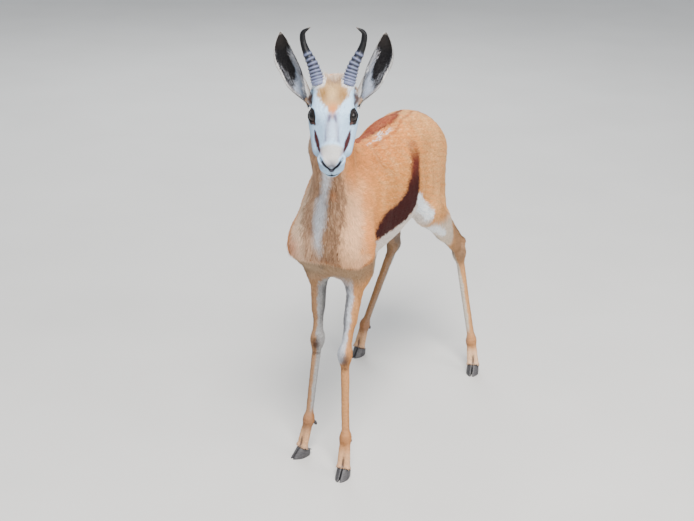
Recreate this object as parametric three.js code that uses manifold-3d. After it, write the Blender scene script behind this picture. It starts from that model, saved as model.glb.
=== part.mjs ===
// A young springbok of about seven months, standing still with its head turned a little to its left.
// Millimetres. +Z is up, the muzzle points towards -Y and the animal's left side is +X.
// The flesh is described once, as muscles that blend into each other, and is then parted with thin cuts.
import * as THREE from "three";
import { mergeVertices } from "three/addons/utils/BufferGeometryUtils.js";
import Module from "manifold-3d";

const wasm = await Module();
wasm.setup();

// Driving sizes of the standing animal.
const withersHeight = 648;
const croupHeight = 634;
const elbowHeight = 412;
const kneeHeight = 254;
const fetlockHeight = 78;
const stifleHeight = 436;
const hockHeight = 288;
const hindFetlockHeight = 74;
const chestFront = -262;
const buttockBack = 296;
const ribHalfWidth = 75;
const partingGap = 0.3;

// Where the joints of each leg stand: the left foreleg is a step ahead, and the hind legs stand wide.
const foreLegs = {
  fore_left: {
    side: 1,
    shoulder: [46, -222, 476],
    elbow: [42, -184, elbowHeight],
    knee: [38, -234, kneeHeight],
    fetlock: [48, -250, fetlockHeight],
    ground: [51, -271, 0],
    toeOut: 2,
  },
  fore_right: {
    side: -1,
    shoulder: [-46, -220, 476],
    elbow: [-44, -178, elbowHeight],
    knee: [-41, -186, kneeHeight],
    fetlock: [-52, -204, fetlockHeight],
    ground: [-63, -222, 0],
    toeOut: 27,
  },
};
const hindLegs = {
  hind_left: {
    side: 1,
    hip: [36, 216, 545],
    stifle: [59, 176, stifleHeight],
    hock: [91, 322, hockHeight],
    fetlock: [131, 320, hindFetlockHeight],
    ground: [142, 304, 0],
    toeOut: 10,
  },
  hind_right: {
    side: -1,
    hip: [-36, 216, 545],
    stifle: [-58, 174, stifleHeight],
    hock: [-64, 312, hockHeight],
    fetlock: [-130, 306, hindFetlockHeight],
    ground: [-139, 288, 0],
    toeOut: 8,
  },
};

// The head is described level, with its origin midway between the eyes, and is then set on the neck.
const headPlace = { at: [51, -340, 763], turn: 20.5, nod: 39, tilt: -1 };
const eyeCentre = [28.5, -3, 1];
const eyeRadius = 15;
const muzzleTip = -114;

// Small vector helpers on plain [x, y, z] lists.
const add = (a, b, k = 1) => [a[0] + b[0] * k, a[1] + b[1] * k, a[2] + b[2] * k];
const sub = (a, b) => add(a, b, -1);
const dot = (a, b) => a[0] * b[0] + a[1] * b[1] + a[2] * b[2];
const length = (a) => Math.hypot(...a);
const unit = (a) => a.map((v) => v / length(a));
const cross = (a, b) => [a[1] * b[2] - a[2] * b[1], a[2] * b[0] - a[0] * b[2], a[0] * b[1] - a[1] * b[0]];
const between = (a, b, t) => add(a, sub(b, a), t);
const radians = THREE.MathUtils.degToRad;
const smooth = THREE.MathUtils.smoothstep;
const lerp = THREE.MathUtils.lerp;

// Flesh shapes: each is a function that gives how far a point lies outside it.

// A length of muscle or bone, round at its ends. flat is its width over its depth.
function muscle(a, b, radiusA, radiusB, flat = 1) {
  const from = [a[0] / flat, a[1], a[2]];
  const along = sub([b[0] / flat, b[1], b[2]], from);
  const reach = dot(along, along);
  return (p) => {
    const q = sub([p[0] / flat, p[1], p[2]], from);
    const t = Math.min(1, Math.max(0, dot(q, along) / reach));
    return (length(add(q, along, -t)) - lerp(radiusA, radiusB, t)) * Math.min(1, flat);
  };
}

// An egg-shaped mass with half sizes radii, its front end lowered by pitch degrees.
function mass(centre, radii, pitch = 0) {
  const c = Math.cos(radians(pitch));
  const s = Math.sin(radians(pitch));
  return (p) => {
    const q = sub(p, centre);
    const turned = [q[0], q[1] * c + q[2] * s, q[2] * c - q[1] * s];
    const near = length(turned.map((v, i) => v / radii[i]));
    const slope = length(turned.map((v, i) => v / radii[i] ** 2));
    return near < 1e-6 ? -Math.min(...radii) : (near * (near - 1)) / slope;
  };
}

const mirrored = (shape) => (p) => shape([Math.abs(p[0]), p[1], p[2]]);

// Joins shapes with a soft hollow between them; soft is how wide the hollow is.
function blended(list) {
  return (p) => {
    let d = Infinity;
    for (const [shape, soft] of list) {
      const e = shape(p);
      const h = Math.max(soft - Math.abs(d - e), 0) / soft;
      d = Math.min(d, e) - (Number.isFinite(h) ? (h * h * soft) / 4 : 0);
    }
    return d;
  };
}

// Trunk: rib cage, belly, croup and breast, with the ridge of the withers and the loin.
const trunk = [
  [mass([0, -50, 512], [ribHalfWidth, 206, 117], 1), 20],
  [mass([0, 76, 516], [71, 150, 96], -5), 50],
  [mass([0, 190, 558], [45, 108, 72], 8), 50],
  [mass([0, chestFront + 66, 484], [44, 62, 86], 14), 45],
  [muscle([0, -165, withersHeight - 32], [0, -50, 594], 24, 28), 36],
  [muscle([0, -50, 594], [0, 170, croupHeight - 36], 28, 34), 36],
  [muscle([0, 185, 584], [0, 262, 566], 38, 22), 40],
  [mass([0, 105, 580], [54, 80, 56]), 40],
];

function foreLegFlesh({ side, shoulder, elbow, knee, fetlock, ground, toeOut }) {
  const tendonTop = add(knee, [0, 11, -24]);
  const tendonEnd = add(fetlock, [0, 10, 8]);
  return [
    [muscle([side * 26, -130, 612], shoulder, 28, 36, 0.8), 34],
    [muscle(shoulder, elbow, 36, 25, 0.85), 34],
    [muscle([side * 40, -112, 546], add(elbow, [0, 12, 8]), 40, 24, 0.75), 34],
    [muscle(elbow, between(elbow, knee, 0.55), 22, 15, 0.64), 22],
    [muscle(add(elbow, [0, 8, 6]), knee, 18, 14.5, 0.68), 14],
    [mass(knee, [12.8, 15, 21]), 10],
    [muscle(knee, fetlock, 10.5, 9.5, 0.92), 12],
    [muscle(tendonTop, tendonEnd, 5.5, 6, 0.85), 7],
    ...footFlesh(fetlock, ground, toeOut * side),
  ];
}

function hindLegFlesh({ side, hip, stifle, hock, fetlock, ground, toeOut }) {
  const heelPoint = add(hock, [0, 18, 22]);
  const seat = [side * 34, buttockBack - 40, 536];
  const hamstringEnd = between(stifle, hock, 0.42);
  const tendonEnd = add(fetlock, [0, 10, 8]);
  return [
    [muscle(hip, stifle, 58, 27, 0.64), 44],
    [muscle(seat, add(hamstringEnd, [side * -10, 20, 28]), 36, 18, 0.8), 34],
    [muscle([side * 50, 130, 506], stifle, 21, 23, 0.6), 34],
    [muscle(stifle, between(stifle, hock, 0.5), 26, 21, 0.72), 28],
    [muscle(between(stifle, hock, 0.2), hock, 25, 12.5, 0.8), 16],
    [muscle(add(hamstringEnd, [0, 16, 20]), heelPoint, 10, 6, 0.8), 16],
    [muscle(add(between(stifle, hock, 0.6), [0, 14, 12]), add(hock, [0, 13, 12]), 13, 9, 0.6), 12],
    [muscle(hock, heelPoint, 12, 8.5, 0.85), 9],
    [mass(hock, [14, 16, 19]), 9],
    [muscle(hock, fetlock, 11.5, 10, 0.9), 13],
    [muscle(add(hock, [0, 14, -14]), tendonEnd, 7, 6, 0.8), 8],
    ...footFlesh(fetlock, ground, toeOut * side),
  ];
}

// Where one claw stands: half a claw's width to one side of the foot's own line.
const clawHalfWidth = 7.2;
const clawLength = 41;
const coronetHeight = 20;
function footAxes(turn) {
  const a = radians(turn);
  return { ahead: [Math.sin(a), -Math.cos(a), 0], across: [Math.cos(a), Math.sin(a), 0] };
}
function digitEnd(ground, turn, hand) {
  const { ahead, across } = footAxes(turn);
  return add(add(add(ground, across, hand * clawHalfWidth), ahead, -5), [0, 0, coronetHeight]);
}

function footFlesh(fetlock, ground, turn) {
  return [
    [mass(fetlock, [12.5, 14.5, 16]), 9],
    ...[1, -1].map((hand) => {
      const { across } = footAxes(turn);
      const end = digitEnd(ground, turn, hand);
      return [muscle(add(fetlock, across, hand * 3.2), end, 8.8, 7.6), 4];
    }),
    ...[1, -1].map((hand) => [mass(digitEnd(ground, turn, hand), [8.2, 10.5, 8]), 5]),
  ];
}

// Neck: deeper than it is wide, rising from between the shoulders to the back of the skull.
const neckRoot = [0, -184, 570];
const neckMiddle = [6, -238, 676];
const neckTop = [38, -280, 772];
const neck = [
  [muscle(neckRoot, neckMiddle, 72, 46, 0.68), 40],
  [muscle(neckMiddle, neckTop, 45.5, 30, 0.72), 26],
];

// Head, level: skull, forehead, brows, cheeks, nose, lips, chin and jaw, then the stubs of horns and ears.
const hornRoot = [26.5, 51, 27];
const hornRise = unit([0.28, 0.78, 0.56]);
const earRoot = [44, 43, -13];
const earRise = unit([0.5, 0.66, 0.56]);
const headFlesh = blended([
  [mass([0, 42, -6], [36, 47, 36], 0), 20],
  [mirrored(muscle([16, 40, 12], [23, -4, 11], 16, 14)), 14],
  [muscle([0, -12, -9], [0, -70, -8], 31, 19.5, 1.08), 22],
  [muscle([0, -2, 7], [0, -80, 2], 16, 12), 14],
  [mirrored(muscle([27, 10, -23], [22.5, -62, -19], 20, 14)), 16],
  [mirrored(mass([23, 34, -30], [13, 24, 20], 20)), 14],
  [muscle([0, -76, -6], [0, -94, -6], 19, 19, 1.18), 12],
  [mirrored(mass([13, -96, -1], [11.5, 15, 11])), 8],
  [mirrored(muscle([12, -100, -14], [15, -84, -17], 10.5, 9)), 6],
  [muscle([0, 16, -40], [0, -86, -26], 12, 9, 1.3), 14],
  [mass([0, -99, -29], [14.5, 12.5, 9.5]), 6],
  [mass([0, -100, -20], [17, 13.5, 12]), 8],
  [mirrored(mass(eyeCentre, [17.2, 19, 17])), 6],
  [mirrored(muscle([27, 24, 13], [32, -6, 14], 9, 6)), 8],
  [mirrored(muscle([18, 40, 12], add(hornRoot, hornRise, 4), 15, 12)), 12],
  [mirrored(muscle([24, 42, -10], add(earRoot, earRise, 8), 17, 13.5)), 12],
]);

const headTurn = new THREE.Matrix4().compose(
  new THREE.Vector3(...headPlace.at),
  new THREE.Quaternion().setFromEuler(
    new THREE.Euler(radians(headPlace.nod), radians(headPlace.tilt), radians(headPlace.turn), "ZYX"),
  ),
  new THREE.Vector3(1, 1, 1),
);
const headTurnBack = headTurn.clone().invert();
const moved = (p, matrix) => new THREE.Vector3(...p).applyMatrix4(matrix).toArray();

const foreFlesh = Object.values(foreLegs).flatMap(foreLegFlesh);
const hindFlesh = Object.values(hindLegs).flatMap(hindLegFlesh);
const tailRoot = [0, 284, 574];
const body = blended([
  ...trunk,
  ...neck,
  ...foreFlesh,
  ...hindFlesh,
  [(p) => headFlesh(moved(p, headTurnBack)), 26],
  [muscle([0, 258, 572], tailRoot, 15, 9), 16],
]);
const bodyAtHead = (p) => body(moved(p, headTurn));

// The point of the surface nearest to p, by a few steps along the slope of the flesh.
function settle(flesh, p, steps = 4) {
  let q = p;
  for (let i = 0; i < steps; i++) {
    const d = flesh(q);
    const slope = [0, 1, 2].map((axis) => {
      const step = [0, 0, 0];
      step[axis] = 0.2;
      return (flesh(add(q, step)) - flesh(sub(q, step))) / 0.4;
    });
    q = add(q, slope, -d / Math.max(dot(slope, slope), 0.05));
  }
  return q;
}

function geometryOf(points, faces) {
  const geometry = new THREE.BufferGeometry();
  geometry.setAttribute("position", new THREE.Float32BufferAttribute(points.flat(), 3));
  geometry.setIndex(faces.flat());
  return geometry;
}

// Covers the flesh inside a box with a net of four-sided meshes about as large as cell.
function netted(flesh, low, high, cell) {
  const count = low.map((v, i) => Math.ceil((high[i] - v) / cell[i]) + 1);
  const place = (i) => i.map((v, axis) => low[axis] + v * cell[axis]);
  const key = (i) => (i[2] * count[1] + i[1]) * count[0] + i[0];
  const edge = (i) => i.some((v, axis) => v === 0 || v === count[axis] - 1);
  const depth = new Float64Array(count[0] * count[1] * count[2]);
  const each = (stop, visit) => {
    for (let z = 0; z < stop[2]; z++) {
      for (let y = 0; y < stop[1]; y++) {
        for (let x = 0; x < stop[0]; x++) visit([x, y, z]);
      }
    }
  };
  each(count, (i) => (depth[key(i)] = edge(i) ? 1 : flesh(place(i))));
  const corners = [0, 1, 2, 3, 4, 5, 6, 7].map((n) => [n & 1, (n >> 1) & 1, n >> 2]);
  const points = [];
  const vertexOf = new Map();
  each(count.map((v) => v - 1), (i) => {
    const crossings = [];
    corners.forEach((a, m) =>
      [1, 2, 4].forEach((bit) => {
        if (m & bit) return;
        const ca = add(i, a);
        const cb = add(i, corners[m | bit]);
        const da = depth[key(ca)];
        const db = depth[key(cb)];
        if (da < 0 !== db < 0) crossings.push(between(place(ca), place(cb), da / (da - db)));
      }),
    );
    if (!crossings.length) return;
    const middle = crossings.reduce((a, b) => add(a, b)).map((v) => v / crossings.length);
    const onRim = i.some((v, axis) => v === 0 || v === count[axis] - 2);
    vertexOf.set(key(i), points.length);
    points.push(onRim ? middle : settle(flesh, middle));
  });
  const faces = [];
  each(count.map((v) => v - 1), (i) =>
    [0, 1, 2].forEach((axis) => {
      const u = (axis + 1) % 3;
      const v = (axis + 2) % 3;
      if (i[u] === 0 || i[v] === 0) return;
      const far = [...i];
      far[axis] += 1;
      const inside = depth[key(i)] < 0;
      if (inside === depth[key(far)] < 0) return;
      const around = [[0, 0], [1, 0], [1, 1], [0, 1]].map(([a, b]) => {
        const c = [...i];
        c[u] -= a;
        c[v] -= b;
        return vertexOf.get(key(c));
      });
      const [a, b, c, d] = inside ? around : around.reverse();
      const shortAC = length(sub(points[a], points[c])) < length(sub(points[b], points[d]));
      faces.push(...(shortAC ? [[a, b, c], [a, c, d]] : [[a, b, d], [b, c, d]]));
    }),
  );
  return geometryOf(points, faces);
}

// Rings of points joined along a line, closed by a point at each end.
function ringed(rings) {
  const sides = rings[0].length;
  const points = rings.flat();
  const faces = [];
  for (let r = 0; r + 1 < rings.length; r++) {
    for (let k = 0; k < sides; k++) {
      const a = r * sides + k;
      const b = r * sides + ((k + 1) % sides);
      faces.push([a, b, b + sides], [a, b + sides, a + sides]);
    }
  }
  for (const [r, turned] of [[0, true], [rings.length - 1, false]]) {
    const centre = rings[r].reduce((p, q) => add(p, q)).map((v) => v / sides);
    points.push(centre);
    for (let k = 0; k < sides; k++) {
      const a = r * sides + k;
      const b = r * sides + ((k + 1) % sides);
      faces.push(turned ? [b, a, points.length - 1] : [a, b, points.length - 1]);
    }
  }
  return geometryOf(points, faces);
}

// Frames along a line of points: each has the line's direction and two directions across it.
function framesAlong(line, across = [1, 0, 0]) {
  return line.map((at, i) => {
    const ahead = unit(sub(line[Math.min(i + 1, line.length - 1)], line[Math.max(i - 1, 0)]));
    const side = unit(add(across, ahead, -dot(across, ahead)));
    return { at, ahead, side, up: cross(ahead, side) };
  });
}

// A skin found by looking outwards from a line inside the flesh, on each of its cross sections.
function cast(flesh, line, sides, furthest) {
  const rings = framesAlong(line).map(({ at, side, up }) =>
    Array.from({ length: sides }, (_, k) => {
      const a = (2 * Math.PI * k) / sides;
      const ray = add(side.map((v) => v * Math.cos(a)), up, Math.sin(a));
      let inner = 0;
      let outer = 1;
      while (outer < furthest && flesh(add(at, ray, outer)) < 0) {
        inner = outer;
        outer += 1.5;
      }
      for (let i = 0; i < 12; i++) {
        const middle = (inner + outer) / 2;
        if (flesh(add(at, ray, middle)) < 0) inner = middle;
        else outer = middle;
      }
      return add(at, ray, inner);
    }),
  );
  return ringed(rings);
}

// Points spread evenly along a polyline, including its ends.
function spread(line, step) {
  const out = [line[0]];
  for (let i = 0; i + 1 < line.length; i++) {
    const count = Math.max(1, Math.round(length(sub(line[i + 1], line[i])) / step));
    for (let k = 1; k <= count; k++) out.push(between(line[i], line[i + 1], k / count));
  }
  return out;
}

// Solids for cutting and joining.
function solid(geometry) {
  const bare = geometry.index ? geometry.toNonIndexed() : geometry.clone();
  bare.deleteAttribute("normal");
  bare.deleteAttribute("uv");
  const merged = mergeVertices(bare, 1e-3);
  return new wasm.Manifold(
    new wasm.Mesh({
      numProp: 3,
      vertProperties: new Float32Array(merged.attributes.position.array),
      triVerts: new Uint32Array(merged.index.array),
    }),
  );
}

function largest(made) {
  return made.decompose().reduce((a, b) => (a.volume() > b.volume() ? a : b));
}

function geometryFrom(made) {
  const mesh = made.getMesh();
  const geometry = new THREE.BufferGeometry();
  geometry.setAttribute("position", new THREE.BufferAttribute(new Float32Array(mesh.vertProperties), 3));
  geometry.setIndex(new THREE.BufferAttribute(new Uint32Array(mesh.triVerts), 1));
  return geometry;
}

// Turns a shape so that its own axis points along a direction, and sets its centre at a point.
function placed(geometry, axis, direction, point) {
  const turn = new THREE.Quaternion().setFromUnitVectors(
    new THREE.Vector3(...axis),
    new THREE.Vector3(...direction),
  );
  const turned = new THREE.Matrix4().makeRotationFromQuaternion(turn);
  return geometry.applyMatrix4(turned.setPosition(...point));
}

// A block whose one face lies on a plane and which reaches away from it along facing.
function block(point, facing, halfWidth, depth = 1200) {
  const geometry = new THREE.BoxGeometry(2 * halfWidth, 2 * halfWidth, depth);
  return solid(placed(geometry, [0, 0, 1], facing, add(point, facing, depth / 2)));
}

// Keeps what lies behind the plane, less half the parting gap.
const behind = (made, point, facing, halfWidth = 600) =>
  made.subtract(block(add(point, facing, -partingGap / 2), facing, halfWidth));

const materials = {
  coat: new THREE.MeshStandardMaterial({ color: 0xc98f5e, roughness: 0.85 }),
  face: new THREE.MeshStandardMaterial({ color: 0xe6e2dc, roughness: 0.85 }),
  horn: new THREE.MeshStandardMaterial({ color: 0x2f3036, roughness: 0.5 }),
  hoof: new THREE.MeshStandardMaterial({ color: 0x3a3a3e, roughness: 0.5 }),
  eye: new THREE.MeshStandardMaterial({ color: 0x120d0b, roughness: 0.1 }),
  ear: new THREE.MeshStandardMaterial({ color: 0xb9b2a6, roughness: 0.85 }),
  tail: new THREE.MeshStandardMaterial({ color: 0xe0d8cc, roughness: 0.85 }),
};

const springbok = new THREE.Group();
const headGroup = new THREE.Group();
headGroup.applyMatrix4(headTurn);
springbok.add(headGroup);
function keep(name, made, material, group = springbok) {
  const mesh = new THREE.Mesh(geometryFrom(largest(made)), materials[material]);
  mesh.name = name;
  group.add(mesh);
}
const sides = { left: 1, right: -1 };

// The planes that part the animal.
const neckCut = { point: [0, -160, 648], facing: unit([0.03, -0.78, 0.62]) };
const headCutLocal = { point: [0, 91, 0], facing: unit([0, 0.62, -0.78]) };
const headCut = {
  point: moved(headCutLocal.point, headTurn),
  facing: new THREE.Vector3(...headCutLocal.facing).transformDirection(headTurn).toArray(),
};
const tailCut = { point: [0, 284, 571], facing: unit([0, 0.9, -0.42]), halfWidth: 24 };
const foreCutHeight = 376;
const hindCutHeight = 388;
const opposite = (v) => v.map((x) => -x);

// Torso, with the shoulders and the thighs, and the neck that rises from it.
const trunkCell = [16, 22, 17];
const bodySolid = solid(netted(body, [-125, -315, 350], [125, 330, 850], trunkCell));
let torso = behind(bodySolid, neckCut.point, neckCut.facing);
for (const { side, elbow } of Object.values(foreLegs)) {
  torso = behind(torso, [side * 60, elbow[1] - 10, foreCutHeight], [0, 0, -1], 60);
}
for (const { side } of Object.values(hindLegs)) {
  torso = behind(torso, [side * 110, 220, hindCutHeight], [0, 0, -1], 110);
}
torso = behind(torso, tailCut.point, tailCut.facing, tailCut.halfWidth);
const neckSolid = behind(bodySolid, neckCut.point, opposite(neckCut.facing));

// Legs: each is cast round the line of its bones, then parted below the knee or hock and above the fetlock.
const footParting = 20;
const atHeight = (top, low, z) => between(top, low, (top[2] - z) / (top[2] - low[2]));
const ends = (p) => [add(p, [0, 0, 3]), add(p, [0, 0, -3])];
function legNodes(name, { side, fetlock, ground, toeOut }, upperLine, upperTop, middleJoint, cannonTop) {
  const upper = solid(cast(body, spread(upperLine, 16), 13, 75));
  keep(
    `${name}_upper`,
    behind(behind(upper, [0, 0, upperTop], [0, 0, 1]), [0, 0, cannonTop], [0, 0, -1]),
    "coat",
  );
  const pasternTop = fetlock[2] + footParting;
  const topEnds = ends(atHeight(middleJoint, fetlock, cannonTop));
  const lowEnds = ends(atHeight(middleJoint, fetlock, pasternTop));
  const cannonLine = [topEnds[0], ...spread([topEnds[1], lowEnds[0]], 20), lowEnds[1]];
  const cannon = solid(cast(body, cannonLine, 12, 34));
  keep(
    `${name}_cannon`,
    behind(behind(cannon, [0, 0, cannonTop], [0, 0, 1]), [0, 0, pasternTop], [0, 0, -1]),
    "coat",
  );
  foot(name, fetlock, ground, toeOut * side, pasternTop);
}

// Foot: a pastern, two claws with flat soles, and two dewclaws set in its back.
const coronetTilt = 25;
const clawSides = 12;
function foot(name, fetlock, ground, turn, top) {
  const { ahead, across } = footAxes(turn);
  const slope = radians(coronetTilt);
  const coronet = add(add(ground, ahead, -5), [0, 0, coronetHeight]);
  const upBack = add([0, 0, Math.cos(slope)], ahead, -Math.sin(slope));
  const lineTop = [fetlock[0], fetlock[1], top];
  const heart = [add(fetlock, [0, 0, 8]), add(fetlock, [0, 0, -6]), add(coronet, upBack, 5)];
  const line = [...ends(lineTop), ...spread([...heart, add(coronet, upBack, -5)], 12)];
  let pastern = solid(cast(body, line, 12, 34));
  pastern = behind(pastern, [0, 0, top], [0, 0, 1]);
  pastern = behind(pastern, coronet, opposite(upBack), 40);
  for (const [hand, which] of [[1, "outer"], [-1, "inner"]]) {
    const lateral = across.map((v) => v * hand * Math.sign(turn || 1));
    const claw = solid(ringed(clawRings(ground, ahead, lateral)));
    keep(`${name}_claw_${which}`, behind(claw, coronet, upBack, 40), "hoof");
    const root = add(add(add(fetlock, ahead, -12), lateral, 5.5), [0, 0, -8]);
    const point = unit(add(add([0, 0, -1], ahead, -0.5), lateral, 0.1));
    pastern = pastern.subtract(solid(dewclaw(root, point, partingGap)));
    keep(`${name}_dewclaw_${which}`, solid(dewclaw(root, point, 0)), "hoof");
  }
  keep(`${name}_pastern`, pastern, "coat");
}

// One claw in rings from the sole up: flat on its inner side, round outside, drawn to a point at the toe.
function clawRings(ground, ahead, lateral) {
  const cleft = 0.5;
  const width = 2 * clawHalfWidth - 0.6;
  const turning = -Math.sign(cross(ahead, lateral)[2]);
  const heel = -19;
  const toe = clawLength - 19;
  return [0, 1.5, 12, 26, 36].map((height) => {
    const spreadOut = 1 + (height === 0 ? -0.05 : 0) - height * 0.004;
    const front = toe - height * 0.92;
    const back = heel - height * 0.12 + (height === 0 ? 1 : 0);
    return Array.from({ length: clawSides }, (_, k) => {
      const a = (2 * Math.PI * (k + 0.5) * turning) / clawSides;
      const along = lerp(back, front, (Math.sin(a) + 1) / 2);
      const fullness = Math.cos(a) > 0 ? Math.cos(a) ** 0.8 : -(Math.abs(Math.cos(a)) ** 0.35);
      const taper = 1 - 0.55 * Math.max(Math.sin(a), 0) ** 2;
      const out = cleft + (width * spreadOut * taper * (1 + fullness)) / 2;
      return add(add(add(ground, ahead, along), lateral, out), [0, 0, height]);
    });
  });
}

// A dewclaw: a blunt cone, wider by grown all round when it is used to make its socket.
function dewclaw(root, point, grown) {
  const profile = [[0, -4], [3.9, -3], [4.1, 1.5], [2.6, 6], [0, 7.5]];
  const outline = profile.map(([r, h]) => {
    const onAxis = r === 0;
    return new THREE.Vector2(onAxis ? 0 : r + grown, onAxis ? h + Math.sign(h) * grown : h);
  });
  return placed(new THREE.LatheGeometry(outline, 7), [0, 1, 0], point, root);
}

const kneeBottom = kneeHeight - 36;
const hockBottom = hockHeight - 38;
for (const [name, leg] of Object.entries(foreLegs)) {
  const top = atHeight(leg.elbow, leg.knee, foreCutHeight);
  const below = atHeight(leg.knee, leg.fetlock, kneeBottom);
  const line = [...ends(top), add(leg.knee, [0, 0, 4]), ...ends(below)];
  legNodes(name, leg, line, foreCutHeight, leg.knee, kneeBottom);
}
for (const [name, leg] of Object.entries(hindLegs)) {
  const start = add(atHeight(leg.stifle, leg.hock, hindCutHeight), [0, 12, 0]);
  const middle = add(leg.hock, [0, 4, 4]);
  const below = atHeight(middle, leg.fetlock, hockBottom);
  legNodes(name, leg, [...ends(start), middle, ...ends(below)], hindCutHeight, middle, hockBottom);
}

// Head.
const headLine = [
  ...[0, 1, 2.5, 5, 8, 12, 17].map((d) => [0, muzzleTip + d, -12]),
  ...spread([[0, muzzleTip + 22, -12], [0, 6, -7], [0, 124, -14]], 7.5),
];
let head = solid(cast(bodyAtHead, headLine, 34, 80));
head = behind(head, headCutLocal.point, headCutLocal.facing);

// Mirrors a point of the head's left side onto its right.
const toSide = (p, side) => [p[0] * side, p[1], p[2]];

// Eyes: balls in sockets, behind lids with an almond opening that looks outwards, forwards and a little up.
const gaze = unit([0.72, -0.4, 0.57]);
const openingLength = 29;
const openingRise = 11;
const openingFall = 10;
function eyeball(side, grown) {
  const geometry = new THREE.IcosahedronGeometry(eyeRadius + grown, 2);
  geometry.translate(...toSide(eyeCentre, side));
  return solid(geometry);
}
// Reflects a shape made for the animal's left onto its right, with its faces turned outwards again.
function reflected(geometry) {
  const flat = geometry.index ? geometry.toNonIndexed() : geometry.clone();
  const p = flat.attributes.position;
  const points = Array.from({ length: p.count }, (_, i) => [-p.getX(i), p.getY(i), p.getZ(i)]);
  const faces = Array.from({ length: p.count / 3 }, (_, i) => [3 * i, 3 * i + 2, 3 * i + 1]);
  return geometryOf(points, faces);
}
function lidOpening(side) {
  const half = openingLength / 2;
  const almond = new THREE.Shape();
  almond.moveTo(-half, -2);
  almond.bezierCurveTo(-half * 0.7, openingRise * 1.25, half * 0.6, openingRise * 1.3, half, 0);
  almond.bezierCurveTo(half * 0.5, -openingFall * 1.25, -half * 0.5, -openingFall * 1.3, -half, -2);
  const geometry = new THREE.ExtrudeGeometry(almond, { depth: 30, bevelEnabled: false, curveSegments: 6 });
  const out = new THREE.Vector3(...gaze);
  const up = new THREE.Vector3(0, -0.12, 1).projectOnPlane(out).normalize();
  const axes = new THREE.Matrix4().makeBasis(up.clone().cross(out), up, out);
  geometry.applyMatrix4(axes.setPosition(...eyeCentre));
  return solid(side > 0 ? geometry : reflected(geometry));
}
for (const [name, side] of Object.entries(sides)) {
  head = head.subtract(lidOpening(side)).subtract(eyeball(side, partingGap));
  keep(`eye_${name}`, eyeball(side, 0), "eye", headGroup);
}

// A tapering groove or strand along a curve, with a width and a depth for every step of it.
function strand(points, steps, sidesRound, sizeAt, across = [1, 0, 0]) {
  const curve = new THREE.CatmullRomCurve3(points.map((p) => new THREE.Vector3(...p)));
  const line = Array.from({ length: steps + 1 }, (_, i) => curve.getPoint(i / steps).toArray());
  return ringed(
    framesAlong(line, across).map(({ at, side, up }, i) => {
      const [wide, deep] = sizeAt(i / steps);
      return Array.from({ length: sidesRound }, (_, k) => {
        const a = (2 * Math.PI * k) / sidesRound;
        return add(add(at, side, wide * Math.cos(a)), up, deep * Math.sin(a));
      });
    }),
  );
}

// Puts a point that lies near the face on its surface, on either side.
const onFace = (side) => (p) => toSide(settle(bodyAtHead, p, 8), side);

// Nostrils: slanting slits that run down towards the lip; and the line of the mouth, back to its corners.
for (const side of Object.values(sides)) {
  const slit = [[19, -97, 4], [14, -106, 3], [7, -112, -3], [2, -114, -8]].map(onFace(side));
  head = head.subtract(solid(strand(slit, 5, 5, (t) => [2.4 - 1.4 * t, 3 - 1.2 * t], [0, 0, 1])));
  const mouth = [[-1, -112, -27], [10, -110, -27.5], [19, -99, -27], [26, -82, -25], [33, -62, -21]];
  const line = mouth.map(onFace(side));
  head = head.subtract(solid(strand(line, 8, 5, (t) => [1.1 - 0.6 * t, 3.2 - 1.2 * t], [0, 0, 1])));
}

// Horns: oval at the root, ringed for more than half their length, then smooth and hooked inwards.
const hornPath = [
  [0, 0, 0], [9.8, 25, 17.6], [18.3, 38.8, 26.8], [24.8, 50.9, 36.7], [27.8, 61.8, 46.6], [26.5, 67.6, 54],
  [13.5, 71.7, 63.5],
];
const hornRadius = 13;
const hornWaist = 5.9;
const ridgeRise = 2;
const hornRings = 8;
const ringedShare = 0.54;
const ringCrowding = 0.45;
const hornSides = 10;
// The rings stand closer together towards the root.
function crowded(share) {
  const k = 1 + ringCrowding;
  return (k - Math.sqrt(k * k - 4 * ringCrowding * share)) / (2 * ringCrowding);
}
function horn(side) {
  const curve = new THREE.CatmullRomCurve3(
    hornPath.map((p) => new THREE.Vector3(...toSide(add(add(hornRoot, hornRise, partingGap), p), side))),
  );
  const stops = [[0, 0]];
  for (let n = 0; n < hornRings; n++) {
    for (const part of [0.3, 0.65, 1]) stops.push([ringedShare * crowded((n + part) / hornRings), part]);
  }
  for (let n = 1; n <= 7; n++) stops.push([lerp(ringedShare, 1, n / 7), 0]);
  const line = stops.map(([t]) => curve.getPointAt(t).toArray());
  line.unshift(add(line[0], toSide(hornRise, side), -4));
  return ringed(
    framesAlong(line).map(({ at, side: across, up }, i) => {
      const [t, part] = stops[Math.max(i - 1, 0)];
      const ridge = (ridgeRise / 2) * (1 - Math.cos(2 * Math.PI * part)) * (1 - t);
      const tip = t > 0.74 ? 1 - ((t - 0.74) / 0.26) ** 1.6 * 0.86 : 1;
      const radius = Math.max(lerp(hornRadius, hornWaist, Math.min(t / 0.7, 1)) * tip + ridge, 0.8);
      return Array.from({ length: hornSides }, (_, k) => {
        const a = (2 * Math.PI * k) / hornSides;
        return add(add(at, across, 0.94 * radius * Math.cos(a)), up, 1.06 * radius * Math.sin(a));
      });
    }),
  );
}
for (const [name, side] of Object.entries(sides)) {
  const seat = toSide(hornRoot, side);
  const rise = toSide(hornRise, side);
  head = behind(head, seat, rise, 21);
  keep(`horn_${name}`, behind(solid(horn(side)), seat, opposite(rise), 60), "horn", headGroup);
}

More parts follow.
